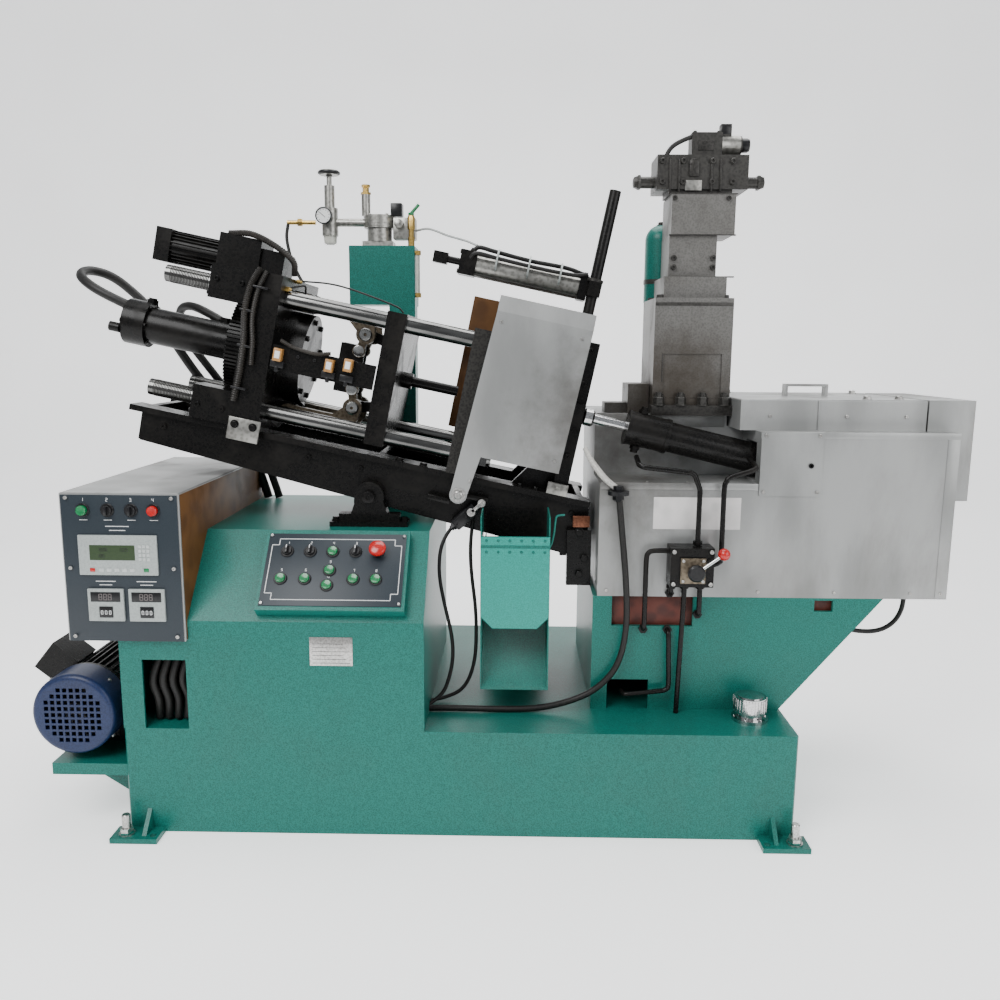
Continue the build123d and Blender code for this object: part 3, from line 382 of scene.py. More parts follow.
def stroke(bm, a, b, width, h0, h1):
    """Flat printed line from a to b in the XY plane, between two heights."""
    line = Vector(b) - Vector(a)
    middle = (Vector(a) + Vector(b)) / 2
    turn = Matrix.Rotation(math.atan2(line.y, line.x), 4, "Z")
    place = Matrix.Translation((*middle, (h0 + h1) / 2)) @ turn
    bmesh.ops.create_cube(bm, size=1.0, matrix=place @ Matrix.Diagonal((line.length, width, h1 - h0, 1.0)))


SEGMENTS = {"1": "cf", "2": "acdeg", "3": "acdfg", "4": "bcdf", "5": "abdfg", "6": "abdefg", "7": "acf",
            "8": "abcdefg", "9": "abcdfg", "0": "abcefg"}
SEGMENT_LINES = {"a": ((0, 2), (1, 2)), "b": ((0, 1), (0, 2)), "c": ((1, 1), (1, 2)), "d": ((0, 1), (1, 1)),
                 "e": ((0, 0), (0, 1)), "f": ((1, 0), (1, 1)), "g": ((0, 0), (1, 0))}


def numeral(bm, digits, x, y, size, h0, h1, width=0.9):
    """Plain seven-stroke number centred at (x, y)."""
    start = x - (len(digits) * size * 0.8 - size * 0.25) / 2
    for index, digit in enumerate(digits):
        left = start + index * size * 0.8
        for letter in SEGMENTS[digit]:
            a, b = SEGMENT_LINES[letter]
            stroke(bm, (left + a[0] * size * 0.5, y + (a[1] - 1) * size / 2),
                   (left + b[0] * size * 0.5, y + (b[1] - 1) * size / 2), width, h0, h1)


UP = (0, 0, 1)
SELECTORS = [(-113, 45), (-60, 45), (45, 45)]
PUSHES = [(-8, 45), (-119, -26), (-64, -26), (46, -26), (97, -26), (-10, -4), (-12, -42)]
outline = [(-150, 62), (-134, 62), (-134, 78), (134, 78), (134, 62), (150, 62), (150, -62), (134, -62),
           (134, -78), (-134, -78), (-134, -62), (-150, -62)]
bm = bmesh.new()
for a, b in zip(outline, outline[1:] + outline[:1]):
    stroke(bm, a, b, 1.6, -0.1, 0.35)
for index, (x, y) in enumerate(SELECTORS + PUSHES + [(97, 45)]):
    numeral(bm, str(index + 1), x, y + 23, 6, -0.1, 0.3)
piece("console_print", bm, "white_print", CONSOLE)
bm = bmesh.new()
box(bm, (-160, -93, -2.2), (160, 93, 0.05), 0.6)
piece("console_face", bm, "slate_face", CONSOLE)
bm = bmesh.new()
for x in (-154, 154):
    for y in (-87, 87):
        screw(bm, (x, y, 0), UP, 3.2)
piece("console_screws", bm, "zinc_screw", CONSOLE)
bm = bmesh.new()
for x, y in SELECTORS + PUSHES:
    turned(bm, (x, y, 0), UP, [(0, 15), (2.5, 15), (4.2, 13.6), (4.2, 11.6), (1, 11.4)], 36)
bezels = piece("console_bezels", bm, "black_plastic", CONSOLE)
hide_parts("console_buttons")
bm = bmesh.new()
for x, y in PUSHES:
    turned(bm, (x, y, 0), UP, [(0.5, 11.2), (7, 11.2), (8.4, 10.2), (7.6, 7), (7.2, 1)], 32)
piece("console_pushes", bm, "button_plastic", CONSOLE)
bm = bmesh.new()
for x, y in SELECTORS:
    turned(bm, (x, y, 0), UP, [(0.5, 11.2), (8, 11.0), (9, 10)], 32)
    box(bm, (x - 3.2, y - 10, 8), (x + 3.2, y + 10, 17), 1.2)
turned(bm, (97, 45, 0), UP, [(0, 15), (9, 15), (9, 11), (14, 11)], 32)
piece("console_selectors", bm, "black_plastic", CONSOLE)
bm = bmesh.new()
for x, y in SELECTORS:
    box(bm, (x - 0.9, y + 1, 16.6), (x + 0.9, y + 9, 17.3))
piece("selector_marks", bm, "white_print", CONSOLE)
bm = bmesh.new()
turned(bm, (97, 45, 13), UP, [(0, 13), (1.5, 18.5), (6, 20), (10, 18.6), (13, 13), (14, 4)], 36)
piece("stop_button", bm, "red_knob", CONSOLE)

# Nameplate and control box: galvanised cabinet whose slate front carries a text display with its
# keypad, two counters and four switches, all screwed through the front. Lettering is left plain.
finish("galvanised_sheet", (0.25, 0.255, 0.25), (0.35, 0.355, 0.35), 0.40, metal=0.55, cells=11.0,
       cloud=4.0, dirt=0.45, dirt_color=(0.15, 0.14, 0.125), bump=0.01, stretch=(1.0, 1.0, 0.35),
       heat=(0.37, -0.20, 0.92, 0.34, 0.7))
# Brown finish: a painted reflection of brown surroundings on galvanised sheet, used for the cabinet's side
# and the rear guard.
finish("brown_sheet", (0.070, 0.029, 0.008), (0.115, 0.050, 0.014), 0.5, cells=22.0, dirt=0.3, bump=0.01,
       dirt_color=(0.03, 0.014, 0.005), shine=0.3)
dress("galvanised_sheet", "control_box")
dress("slate_face", "control_fittings")
finish("display_grey", (0.28, 0.31, 0.30), (0.34, 0.37, 0.36), 0.40, dirt=0.04, bump=0.02)
finish("screen_green", (0.016, 0.036, 0.009), (0.020, 0.042, 0.011), 0.22, dirt=0.0, bump=0.0)
finish("key_white", (0.40, 0.43, 0.42), (0.48, 0.50, 0.49), 0.4, dirt=0.02, bump=0.0)
finish("digit_red", (0.10, 0.085, 0.085), (0.14, 0.12, 0.12), 0.3, dirt=0.0, bump=0.0)
bm = bmesh.new()
box(bm, (-338, -401.2, 410), (-241, -400, 477), 0.4)
piece("nameplate", bm, "zinc_screw")
bm = bmesh.new()
for row in range(6):
    box(bm, (-332, -401.6, 416 + row * 9), (-247 - (row % 3) * 8, -401.1, 416.8 + row * 9))
piece("nameplate_rules", bm, "slate_face")
# Cabinet's right side is galvanised; this brown sheet over it paints in the reflection of brown
# surroundings.
bm = bmesh.new()
box(bm, (-612.2, -405, 470), (-611.4, 247, 798), 0.2)
piece("cabinet_side", bm, "brown_sheet")
SWITCH_ROW = (52, 106, 158, 207)
COUNTERS = (92, 183)
PANEL = MM @ Matrix.Translation((-875, -412, 466)) @ Matrix.Rotation(math.radians(90), 4, "X")
bm = bmesh.new()
box(bm, (3.2, 0.5, -1.5), (259.8, 331.5, 0.6), 0.4)
box(bm, (0.8, 2.5, -3.2), (262.2, 333.0, -2.6))
piece("panel_face", bm, "slate_face", PANEL)
bm = bmesh.new()
for x, y in ((16, 325), (248, 325), (17, 168), (246, 168), (17, 12), (246, 12)):
    screw(bm, (x, y, 0.5), UP, 4.2)
piece("panel_screws", bm, "zinc_screw", PANEL)
bm = bmesh.new()
box(bm, (38, 153, 0), (212, 243, 6), 1.5)
display = piece("display_body", bm, "display_grey", PANEL)
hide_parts("control_fittings")
bm = bmesh.new()
box(bm, (63, 187, 5.5), (163, 221, 6.4))
piece("display_screen", bm, "screen_green", PANEL)
bm = bmesh.new()
numeral(bm, "1600", 92, 211, 7, 6.3, 6.6)
numeral(bm, "025", 140, 211, 7, 6.3, 6.6)
numeral(bm, "180", 88, 197, 7, 6.3, 6.6)
piece("screen_digits", bm, "black_plastic", PANEL)
bm = bmesh.new()
for column in range(3):
    for row in range(4):
        box(bm, (171 + column * 9, 186 + row * 9.5, 5.5), (178 + column * 9, 193 + row * 9.5, 7.5), 0.8)
for k in range(5):
    box(bm, (82 + k * 17, 161, 5.5), (93 + k * 17, 169, 7.5), 0.8)
piece("display_keys", bm, "key_white", PANEL)
bm = bmesh.new()
box(bm, (62, 161, 5.5), (73, 169, 7.6), 0.8)
piece("display_red_key", bm, "red_knob", PANEL)
bm = bmesh.new()
box(bm, (181, 161, 5.5), (192, 169, 7.6), 0.8)
turned(bm, (52, 298, 4), UP, [(0, 11), (8, 11), (9.5, 9.5), (9, 2)], 32)
piece("panel_green", bm, "button_plastic", PANEL)
bm = bmesh.new()
turned(bm, (207, 298, 4), UP, [(0, 11), (8, 11), (9.5, 9.5), (9, 2)], 32)
piece("panel_red", bm, "red_knob", PANEL)
bm = bmesh.new()
for x in SWITCH_ROW:
    turned(bm, (x, 298, 0), UP, [(0, 15), (2.5, 15), (4.4, 13.6), (4.4, 11.6), (1, 11.4)], 36)
piece("panel_bezels", bm, "black_plastic", PANEL)
bm = bmesh.new()
for x in (106, 158):
    turned(bm, (x, 298, 1), UP, [(0, 11.2), (7, 11), (8, 10)], 32)
    box(bm, (x - 3.2, 288, 7.5), (x + 3.2, 308, 16), 1.2)
for x in COUNTERS:
    box(bm, (x - 33, 93, 6), (x + 33, 115, 8), 0.6)
    box(bm, (x - 15, 57, 6), (x + 15, 82, 9), 0.6)
piece("panel_black", bm, "black_plastic", PANEL)
bm = bmesh.new()
for x in COUNTERS:
    box(bm, (x - 40, 48, 0), (x + 40, 122, 7), 1.5)
piece("counter_frames", bm, "display_grey", PANEL)
bm = bmesh.new()
for x in COUNTERS:
    for k in range(3):
        numeral(bm, "0", x - 8.5 + k * 9, 69, 8, 8.8, 9.3, 1.2)
for k, x in enumerate(SWITCH_ROW):
    numeral(bm, str(k + 1), x, 321, 7, 0.4, 0.9)
    stroke(bm, (x - 9, 276), (x + 9, 276), 1.2, 0.4, 0.9)
for x, y, reach in ((125, 262, 26), (125, 253, 18), (92, 138, 22), (92, 130, 14), (183, 138, 22),
                    (183, 130, 14)):
    stroke(bm, (x - reach, y), (x + reach, y), 1.6, 0.4, 0.9)
piece("panel_print", bm, "white_print", PANEL)
bm = bmesh.new()
for x in COUNTERS:
    numeral(bm, "888", x, 104, 13, 7.8, 8.4, 1.5)
piece("counter_digits", bm, "digit_red", PANEL)

# Pump motor: cast finned body in black, blue pressed cowl with a square-holed grille, plastic fan
# behind it on the shaft. Bolted to the shelf by its feet.
MOTOR_X, MOTOR_Z = -891, 280
finish("motor_blue", (0.005, 0.012, 0.048), (0.011, 0.024, 0.078), 0.36, cells=300.0, dirt=0.15, bump=0.05,
       shine=0.35)
finish("black_paint", (0.003, 0.003, 0.003), (0.007, 0.0065, 0.006), 0.27, cells=160.0, cloud=9.0,
       dirt=0.35, dirt_color=(0.013, 0.011, 0.009), bump=0.06, shine=0.18)
finish("grey_cast_iron", (0.112, 0.109, 0.103), (0.150, 0.146, 0.138), 0.40, metal=0.45, cells=240.0,
       cloud=5.0, dirt=0.45, dirt_color=(0.040, 0.036, 0.030), bump=0.04, heat=(0.50, -0.10, 0.98, 0.30,
                                                                                0.85))
dress("motor_blue", "motor_cowl")
dress("black_paint", "pump_motor")
dress("grey_cast_iron", "hydraulic_pump")
bm = bmesh.new()
turned(bm, (MOTOR_X, -384, MOTOR_Z), (0, 1, 0), [(0, 20), (4, 26), (36, 26)], 28)
for k in range(7):
    blade = Matrix.Translation((MOTOR_X, -366, MOTOR_Z)) @ Matrix.Rotation(k * math.tau / 7, 4, "Y")
    blade = blade @ Matrix.Translation((0, 0, 52)) @ Matrix.Diagonal((3, 30, 62, 1))
    bmesh.ops.create_cube(bm, size=1.0, matrix=blade)
piece("motor_fan", bm, "black_plastic")
bm = bmesh.new()
for k in range(4):
    angle = math.radians(45 + 90 * k)
    x, z = MOTOR_X + 96 * math.cos(angle), MOTOR_Z + 96 * math.sin(angle)
    screw(bm, (x, -345, z), (math.cos(angle), 0, math.sin(angle)), 4)
for side in (-1, 1):
    bolt(bm, (MOTOR_X + side * 57, -230, 177), UP, 7)
piece("motor_screws", bm, "zinc_screw")

# Bed fittings: zinc-plated jack screws with washers and lock nuts in the anchor feet, and a chromed
# oil filler cap with a gripping rim, its flange screwed to the deck.
FILLER_X, FILLER_Y = 682, -303
finish("chrome_cap", (0.46, 0.46, 0.46), (0.62, 0.62, 0.62), 0.13, metal=1.0, dirt=0.1)
dress("chrome_cap", "filler_cap")
bm = bmesh.new()
for side_x in (-1, 1):
    for side_y in (-1, 1):
        x, y = side_x * 764, side_y * 432
        turned(bm, (x, y, 11), UP, [(0, 9.6), (47, 9.6), (49, 8)], 24)
        turned(bm, (x, y, 12), UP, [(0, 18), (3, 18)], 24)
        turned(bm, (x, y, 15), UP, [(0, 15.9), (12, 16.2), (13.2, 14.8)], 6)
piece("jack_screws", bm, "zinc_screw")
bm = bmesh.new()
for k in range(30):
    turn = Matrix.Translation((FILLER_X, FILLER_Y, 294)) @ Matrix.Rotation(k * math.tau / 30, 4, "Z")
    rib = turn @ Matrix.Translation((37.5, 0, 0)) @ Matrix.Diagonal((3, 3.6, 32, 1))
    bmesh.ops.create_cube(bm, size=1.0, matrix=rib)
turned(bm, (FILLER_X, FILLER_Y, 312), UP, [(0, 30), (3, 30), (6, 22), (7, 8)], 40)
for k in range(6):
    angle = k * math.tau / 6
    screw(bm, (FILLER_X + 36 * math.cos(angle), FILLER_Y + 36 * math.sin(angle), 262.5), UP, 3)
piece("filler_grip", bm, "chrome_cap")

# Furnace: galvanised jacket around the pot, standing on a green stand; rust-red burner skirt inside.
# Sheets are folded and held by pan-head screws; an access plate covers the burner.
dress("galvanised_sheet", "furnace_end_panel furnace_housing furnace_lid")
finish("rust_skirt", (0.050, 0.010, 0.006), (0.10, 0.020, 0.011), 0.6, cells=40.0, dirt=0.5)
finish("pale_label", (0.48, 0.47, 0.46), (0.60, 0.58, 0.57), 0.5, cells=30.0, dirt=0.3,
       dirt_color=(0.36, 0.34, 0.33))
bm = bmesh.new()
box(bm, (322, -236, 430), (640, -230, 536), 1)
box(bm, (830, -236, 500), (890, -230, 536), 1)
piece("burner_skirt", bm, "rust_skirt")
bm = bmesh.new()
box(bm, (446, -251.6, 702), (650, -250.8, 778), 0.3)
piece("blank_label", bm, "pale_label")
bm = bmesh.new()
for x, z in ((699, 925), (823, 925), (699, 793), (823, 793)):
    screw(bm, (x, -254, z), (0, -1, 0), 4)
for x in (340, 520, 700, 880, 1060, 1130):
    screw(bm, (x, -251, 552), (0, -1, 0), 3.5)
for x in (720, 900, 1040):
    screw(bm, (x, -200, 966), (0, -1, 0), 4)
for x, y in ((960, -160), (1040, -150), (1040, 150), (700, 150)):
    bolt(bm, (x, y, 1005), UP, 9)
for x in (335, 430, 525, 620):
    screw(bm, (x, -240, 810), UP, 3.5)
for z in (790, 860, 930):
    screw(bm, (1202, -150, z), (1, 0, 0), 4)
piece("furnace_screws", bm, "zinc_screw")
bm = bmesh.new()
box(bm, (320, -253.5, 796), (687, -250.9, 812), 0.8)
box(bm, (322, -86, 930), (640, -83.5, 962), 0.8)
box(bm, (688, -252.6, 918), (1147, -250.9, 933), 0.8)
box(bm, (1118, -252.2, 540), (1146, -250.9, 918), 0.5)
box(bm, (832, -203, 934), (834, -199, 1003), 0.4)
box(bm, (689, -253.4, 784), (833, -250.9, 934), 0.8)
piece("jacket_seams", bm, "galvanised_sheet")
bm = bmesh.new()
turned(bm, (806, -253, 855), (0, -1, 0), [(0, 6), (4, 6), (4, 3.5), (1, 3)], 20)
turned(bm, (360, -272, 786), UP, [(0, 25), (9, 25)], 30)
box(bm, (342, -272, 786.5), (378, -250.8, 794.5), 1)
turned(bm, (360, -272, 795), UP, [(0, 12), (12, 12)], 6)
turned(bm, (360, -272, 786), (0, 0, -1), [(-1, 13), (12, 13), (15, 10)], 6)
piece("conduit_flange", bm, "black_plastic")


def smoothed(points, steps):
    """Catmull-Rom line through points."""
    points = [Vector(p) for p in points]
    ends = [points[0] * 2 - points[1]] + points + [points[-1] * 2 - points[-2]]
    line = []
    for a, b, c, d in zip(ends, ends[1:], ends[2:], ends[3:]):
        for k in range(steps):
            t = k / steps
            line.append(0.5 * (2 * b + (c - a) * t + (2 * a - 5 * b + 4 * c - d) * t ** 2
                               + (3 * b - a - 3 * c + d) * t ** 3))
    return line + [points[-1]]


def tube(bm, points, radius, sides=12, steps=8, rib=0.0):
    """Bent tube, a circle extruded along points; rib is the depth of its corrugation."""
    line = smoothed(points, steps)
    side = (line[1] - line[0]).normalized().orthogonal().normalized()
    places = []
    for index, point in enumerate(line):
        ahead = (line[min(index + 1, len(line) - 1)] - line[max(index - 1, 0)]).normalized()
        side = (side - ahead * side.dot(ahead)).normalized()
        turn = Matrix((side, ahead.cross(side), ahead)).transposed().to_4x4()
        size = radius - (rib if index % 2 else 0.0)
        places.append(Matrix.Translation(point) @ turn @ Matrix.Scale(size, 4))
    start = bmesh.ops.create_circle(bm, cap_ends=True, radius=1.0, segments=sides,
                                    matrix=places[0] @ Matrix.Rotation(-math.pi / 2, 4, "Z"))
    rim = list({edge for vert in start["verts"] for edge in vert.link_edges})
    for last, place in zip(places, places[1:]):
        grown = bmesh.ops.extrude_edge_only(bm, edges=rim)["geom"]
        ring = [part for part in grown if isinstance(part, bmesh.types.BMVert)]
        rim = [part for part in grown if isinstance(part, bmesh.types.BMEdge) and part.is_boundary]
        bmesh.ops.transform(bm, matrix=place @ last.inverted(), verts=ring)
    bmesh.ops.edgeloop_fill(bm, edges=rim)


# Sensor leads at the housing: two woven glass sleeves, off white, that leave the nozzle and run
# together through the conduit's flange; held there by its nut.
finish("glass_sleeve", (0.33, 0.325, 0.30), (0.46, 0.45, 0.42), 0.6, cells=300.0, dirt=0.25, bump=0.1)
bm = bmesh.new()
tube(bm, [(286, -206, 886), (300, -228, 858), (322, -248, 828), (346, -262, 806), (356, -268, 798)],
     6.5, 12, 12, 0.6)
tube(bm, [(296, -200, 868), (312, -226, 846), (334, -248, 820), (354, -262, 804), (362, -270, 798)],
     5.5, 12, 12, 0.6)
piece("sensor_sleeves", bm, "glass_sleeve")

# Fixed pipes of the hand valve: black steel tube, bent cold, with hexagon unions screwed into the
# block, the housing and the seat cylinder.
bm = bmesh.new()
tube(bm, [(676, -204, 864), (676, -262, 853), (668, -272, 846), (618, -272, 829), (608, -272, 818),
          (604, -272, 800), (604, -272, 720), (604, -272, 640), (600, -272, 628), (588, -272, 622),
          (578, -272, 622)], 6, 14, 6)
tube(bm, [(486, -272, 655), (447, -272, 654), (434, -272, 648), (430, -272, 630), (430, -272, 560),
          (430, -272, 480), (430, -268, 464), (430, -250, 459)], 6, 14, 6)
tube(bm, [(490, -272, 580), (490, -272, 560), (490, -264, 550), (490, -250, 548)], 6, 14, 6)
tube(bm, [(558, -272, 580), (558, -272, 512), (558, -264, 500), (558, -250, 497)], 6, 14, 6)
tube(bm, [(488, -250, 458), (488, -264, 457), (489, -272, 446), (491, -272, 390), (493, -272, 326),
          (486, -272, 313), (468, -272, 309), (400, -272, 301), (388, -266, 299), (384, -243, 299)],
     6, 14, 6)
for x, z in ((430, 459), (490, 548), (558, 497), (488, 458)):
    turned(bm, (x, -251.5, z), (0, -1, 0), [(0, 11), (8, 11)], 6)
for x, z, way in ((548, 670, 1), (521, 574, -1), (558, 574, -1), (490, 574, -1)):
    turned(bm, (x, -272, z), (0, 0, way), [(0, 11), (9, 11)], 6)
piece("valve_pipes", bm, "black_paint")

# Injection column: cast iron blocks stacked on the pot and clamped by studs with castle nuts;
# dark valve body above with plugs, solenoid in bare metal and a black hose to the pilot port.
finish("valve_iron", (0.024, 0.023, 0.021), (0.044, 0.042, 0.038), 0.40, metal=0.4, cells=160.0, cloud=8.0,
       dirt=0.4, dirt_color=(0.012, 0.010, 0.009), bump=0.05)
finish("dark_iron", (0.018, 0.017, 0.016), (0.036, 0.034, 0.031), 0.42, metal=0.4, cells=200.0, dirt=0.4,
       dirt_color=(0.008, 0.007, 0.006), bump=0.06, shine=0.35)
finish("aluminium_body", (0.22, 0.215, 0.20), (0.35, 0.345, 0.32), 0.34, metal=0.8, cells=120.0, dirt=0.35)
dress("grey_cast_iron", "gooseneck_bracket injection_cylinder injection_frame")
dress("valve_iron", "main_valve")
dress("hammertone_green", "accumulator")
bm = bmesh.new()
for k, x in enumerate((472, 525, 579, 632)):
    turned(bm, (x, -109, 984), UP, [(0, 16), (3, 16)], 24)
    turned(bm, (x, -109, 987), UP, [(0, 14), (16, 14), (18, 12)], 6)
    rod(bm, (x, -109, 1000), (x, -109, 1016), 7.5, 18)
    for angle in range(3):
        turn = Matrix.Translation((x, -109, 1008)) @ Matrix.Rotation(angle * math.tau / 6 + 0.4, 4, "Z")
        bmesh.ops.create_cube(bm, size=1.0, matrix=turn @ Matrix.Diagonal((22, 4, 8, 1)))
piece("column_nuts", bm, "valve_iron")
bm = bmesh.new()
for x in (472, 632):
    for y in (-70, 70):
        screw(bm, (x, y, 1243), UP, 9)
for x in (504, 600):
    for z in (1318, 1340):
        screw(bm, (x, -58, z), (0, -1, 0), 7)
for x in (500, 630):
    screw(bm, (x, -66, 1480), (0, -1, 0), 6)
piece("column_screws", bm, "valve_iron")
bm = bmesh.new()
box(bm, (478, -102, 1040), (480, -96, 1110), 0.5)
box(bm, (458, -101.5, 1224), (646, -99.8, 1232), 0.5)
for z in (1294, 1393, 1489):
    box(bm, (490, -67, z), (652, -57.5, z + 3), 0.6)
piece("column_seams", bm, "valve_iron")
bm = bmesh.new()
for x, direction in ((418, -1), (718, 1)):
    turned(bm, (x, 0, 1527), (direction, 0, 0), [(-6, 19), (0, 19), (3, 16), (10, 14), (12, 8)], 6)
for x in (470, 520, 590, 640):
    screw(bm, (x, -52, 1520), (0, -1, 0), 7)
    screw(bm, (x, -52, 1568), (0, -1, 0), 7)
for x in (552, 610):
    for y in (-16, 16):
        screw(bm, (x, y, 1641), UP, 4.5)
piece("valve_plugs", bm, "valve_iron")
bm = bmesh.new()
turned(bm, (612, 0, 1615), (1, 0, 0), [(0, 23.5), (8, 23.5), (10, 22.6), (52, 22.6)], 32)
piece("solenoid_coil", bm, "aluminium_body")
bm = bmesh.new()
turned(bm, (664, 0, 1615), (1, 0, 0), [(0, 16), (3, 17), (20, 17), (24, 13)], 28)
box(bm, (616, -13, 1638), (640, 13, 1661), 3)
piece("solenoid_cap", bm, "black_plastic")
bm = bmesh.new()
box(bm, (526, -53.0, 1500), (566, -51.8, 1524), 0.4)
piece("valve_plates", bm, "aluminium_body")
bm = bmesh.new()
for x in (486, 508, 586, 608):
    box(bm, (x, -56.5, 1496), (x + 5, -51.5, 1572), 1.5)
turned(bm, (546, -50, 1562), (0, -1, 0), [(0, 13), (7, 12), (9, 9)], 28)
box(bm, (534, -58, 1532), (558, -50, 1562), 3)
box(bm, (560, -25.4, 1598), (596, -23.9, 1620), 0.4)
box(bm, (453.4, -118.7, 960.6), (650.6, 118.7, 984.3), 0.6)
piece("valve_ribs", bm, "dark_iron")
bm = bmesh.new()
tube(bm, [(486, -30, 1543), (478, -34, 1572), (496, -30, 1606), (540, -18, 1630), (560, -10, 1634)], 5.5)
piece("pilot_tube", bm, "black_hose")
bm = bmesh.new()
turned(bm, (500, 128, 1435), UP, [(0, 12), (8, 12), (8, 8), (14, 8), (16, 5)], 20)
turned(bm, (500, 128, 1290), UP, [(0, 41.5), (12, 41.5)], 40)
piece("accumulator_cap", bm, "valve_iron")

# Seat cylinder: honed steel tube in black paint between a screwed head and a clevis, with a chromed
# rod in a nut at the platen. Drawn along its own axis, which falls towards the furnace.
SEAT_RUN, SEAT_FALL = 446.0, 105.0
SEAT = MM @ Matrix.Translation((282, -168, 960)) @ Matrix.Rotation(math.atan2(SEAT_FALL, SEAT_RUN), 4, "Y")
dress("black_paint", "seat_cylinder")
bm = bmesh.new()
turned(bm, (2, 0, 0), (1, 0, 0), [(0, 17), (3, 21.5), (20, 21.5), (25, 17), (25, 12.2), (105, 12.2)], 28)
piece("seat_rod", bm, "chrome_cap", SEAT)
bm = bmesh.new()
turned(bm, (107, 0, 0), (1, 0, 0), [(0, 30), (0, 42), (6, 42), (6, 40.6), (94, 40.6), (94, 42), (103, 42),
                                    (103, 36.4)], 36)
for side in (-1, 1):
    turned(bm, (140, 0, side * 40), (0, 0, side), [(0, 12), (8, 12), (8, 9), (16, 9)], 6)
piece("seat_head", bm, "black_paint", SEAT)

# Hand valve: black block on the housing with a tan cover plate, chromed lever and red ball.
# The lever hub is clamped on the spindle and turns with it.
LEVER = math.radians(36)
finish("tan_cast", (0.080, 0.062, 0.041), (0.17, 0.138, 0.097), 0.38, metal=0.6, cells=130.0, cloud=16.0,
       dirt=0.5, dirt_color=(0.03, 0.02, 0.012), bump=0.08)
dress("black_paint", "hand_valve hydraulic_pipes")
dress("red_knob", "valve_lever")
bm = bmesh.new()
box(bm, (503, -313.4, 586), (561, -310.8, 646), 0.8)
piece("valve_plate", bm, "tan_cast")
bm = bmesh.new()
for x, z in ((509, 592), (555, 592), (509, 640), (555, 640)):
    screw(bm, (x, -313, z), (0, -1, 0), 3.6)
for x, z in ((488, 584), (574, 584), (488, 660), (574, 660)):
    screw(bm, (x, -307, z), (0, -1, 0), 5)
piece("valve_screws", bm, "zinc_screw")
bm = bmesh.new()
turned(bm, (537, -311.4, 614), (0, -1, 0), [(0, 17), (10, 17), (13, 20), (20, 20), (24, 16), (24, 6)], 36)
hub = piece("lever_hub", bm, "black_plastic", body="valve_lever")
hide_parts("valve_lever")
bm = bmesh.new()
tip = (537 + 76 * math.cos(LEVER), -325, 614 + 76 * math.sin(LEVER))
rod(bm, (537, -325, 614), tip, 4)
piece("lever_arm", bm, "chrome_cap", body="valve_lever")
bm = bmesh.new()
bmesh.ops.create_uvsphere(bm, u_segments=28, v_segments=18, radius=14, matrix=Matrix.Translation(tip))
piece("lever_ball", bm, "red_knob", body="valve_lever")

# Clamp unit details: platens and bars on the tilted beam, all screwed; pieces below are drawn in
# the clamp unit's own frame (along the bars, across, up) and tilted with it.
CLAMP_TILT = math.radians(11.7)
CLAMP = MM @ Matrix.Translation((-242, 0, 1053)) @ Matrix.Rotation(CLAMP_TILT, 4, "Y")
BAR = 137.5
finish("bright_steel", (0.34, 0.34, 0.33), (0.50, 0.50, 0.49), 0.20, metal=1.0, cells=60.0, dirt=0.3)
# Tie bars: bright ground steel whose base colour is kept dark as a painted dark reflection of the
# surroundings; the grain along the bars is its own.
finish("ground_bar_painted_dark_reflection", (0.10, 0.10, 0.098), (0.17, 0.17, 0.165), 0.16, metal=1.0, cells=60.0, dirt=0.3,
       dirt_color=(0.02, 0.018, 0.015), stretch=(0.15, 1.0, 1.0))
dress("black_paint",
      "bar_nut_housings clamp_cylinder gear_motor moving_platen nose_frame ring_gear tail_platen")
dress("dark_iron", "fixed_platen")
dress("ground_bar_painted_dark_reflection", "tie_bars")
bm = bmesh.new()
for sw in (-1, 1):
    for sy in (-1, 1):
        for dy, dw in ((-24, 32), (32, 32), (32, -22)):
            screw(bm, (-394, sy * (BAR + dy), sw * (BAR + dw)), (-1, 0, 0), 6)
        for u in (-378, -318):
            screw(bm, (u, sy * 181.5, sw * 150), (0, sy, 0), 6)
for k in range(8):
    angle = k * math.tau / 8 + 0.2
    screw(bm, (-170, 96 * math.cos(angle), 96 * math.sin(angle)), (1, 0, 0), 7)
for k in range(6):
    angle = k * math.tau / 6
    screw(bm, (-585, 50 * math.cos(angle), 50 * math.sin(angle)), (1, 0, 0), 5)
    screw(bm, (-643, 42 * math.cos(angle), 42 * math.sin(angle)), (-1, 0, 0), 6)
for u in (-250, 262):
    for sy in (-1, 1):
        bolt(bm, (u, sy * 160, -172), UP, 9)
for w in (-90, 0, 90, 170):
    screw(bm, (518, -150, w), (0, -1, 0), 7)
piece("clamp_screws", bm, "black_paint", CLAMP)
bm = bmesh.new()
for sw in (-1, 1):
    for sy in (-1, 1):
        turned(bm, (-505, sy * BAR, sw * BAR), (-1, 0, 0), [(0, 20), (3, 20), (7.5, 16), (7.5, 5), (4, 1)],
               28)
piece("bar_ends", bm, "dark_iron", CLAMP)
bm = bmesh.new()
for sw in (-1, 1):
    for sy in (-1, 1):
        for k in range(26):
            turned(bm, (-498 + k * 3.6, sy * BAR, sw * BAR), (1, 0, 0),
                   [(0, 20.0), (1.2, 20.7), (2.4, 20.0)], 28)
piece("bar_threads", bm, "dark_iron", CLAMP)
bm = bmesh.new()
turned(bm, (-641, 0, -28), (-1, 0, 0), [(0, 13), (9, 13), (9, 9), (14, 9), (14, 4), (11, 3)], 6)
turned(bm, (-591, 0, 52), UP, [(0, 15), (12, 15), (12, 11), (16, 11)], 6)
turned(bm, (-640, -5, 34), (-1, 0, 0.3), [(0, 18), (9, 18), (9, 14.5), (17, 14.5)], 6)
turned(bm, (-404, 12, 44), UP, [(-4, 18), (8, 18), (8, 14), (14, 14)], 6)
piece("cylinder_ports", bm, "black_paint", CLAMP)

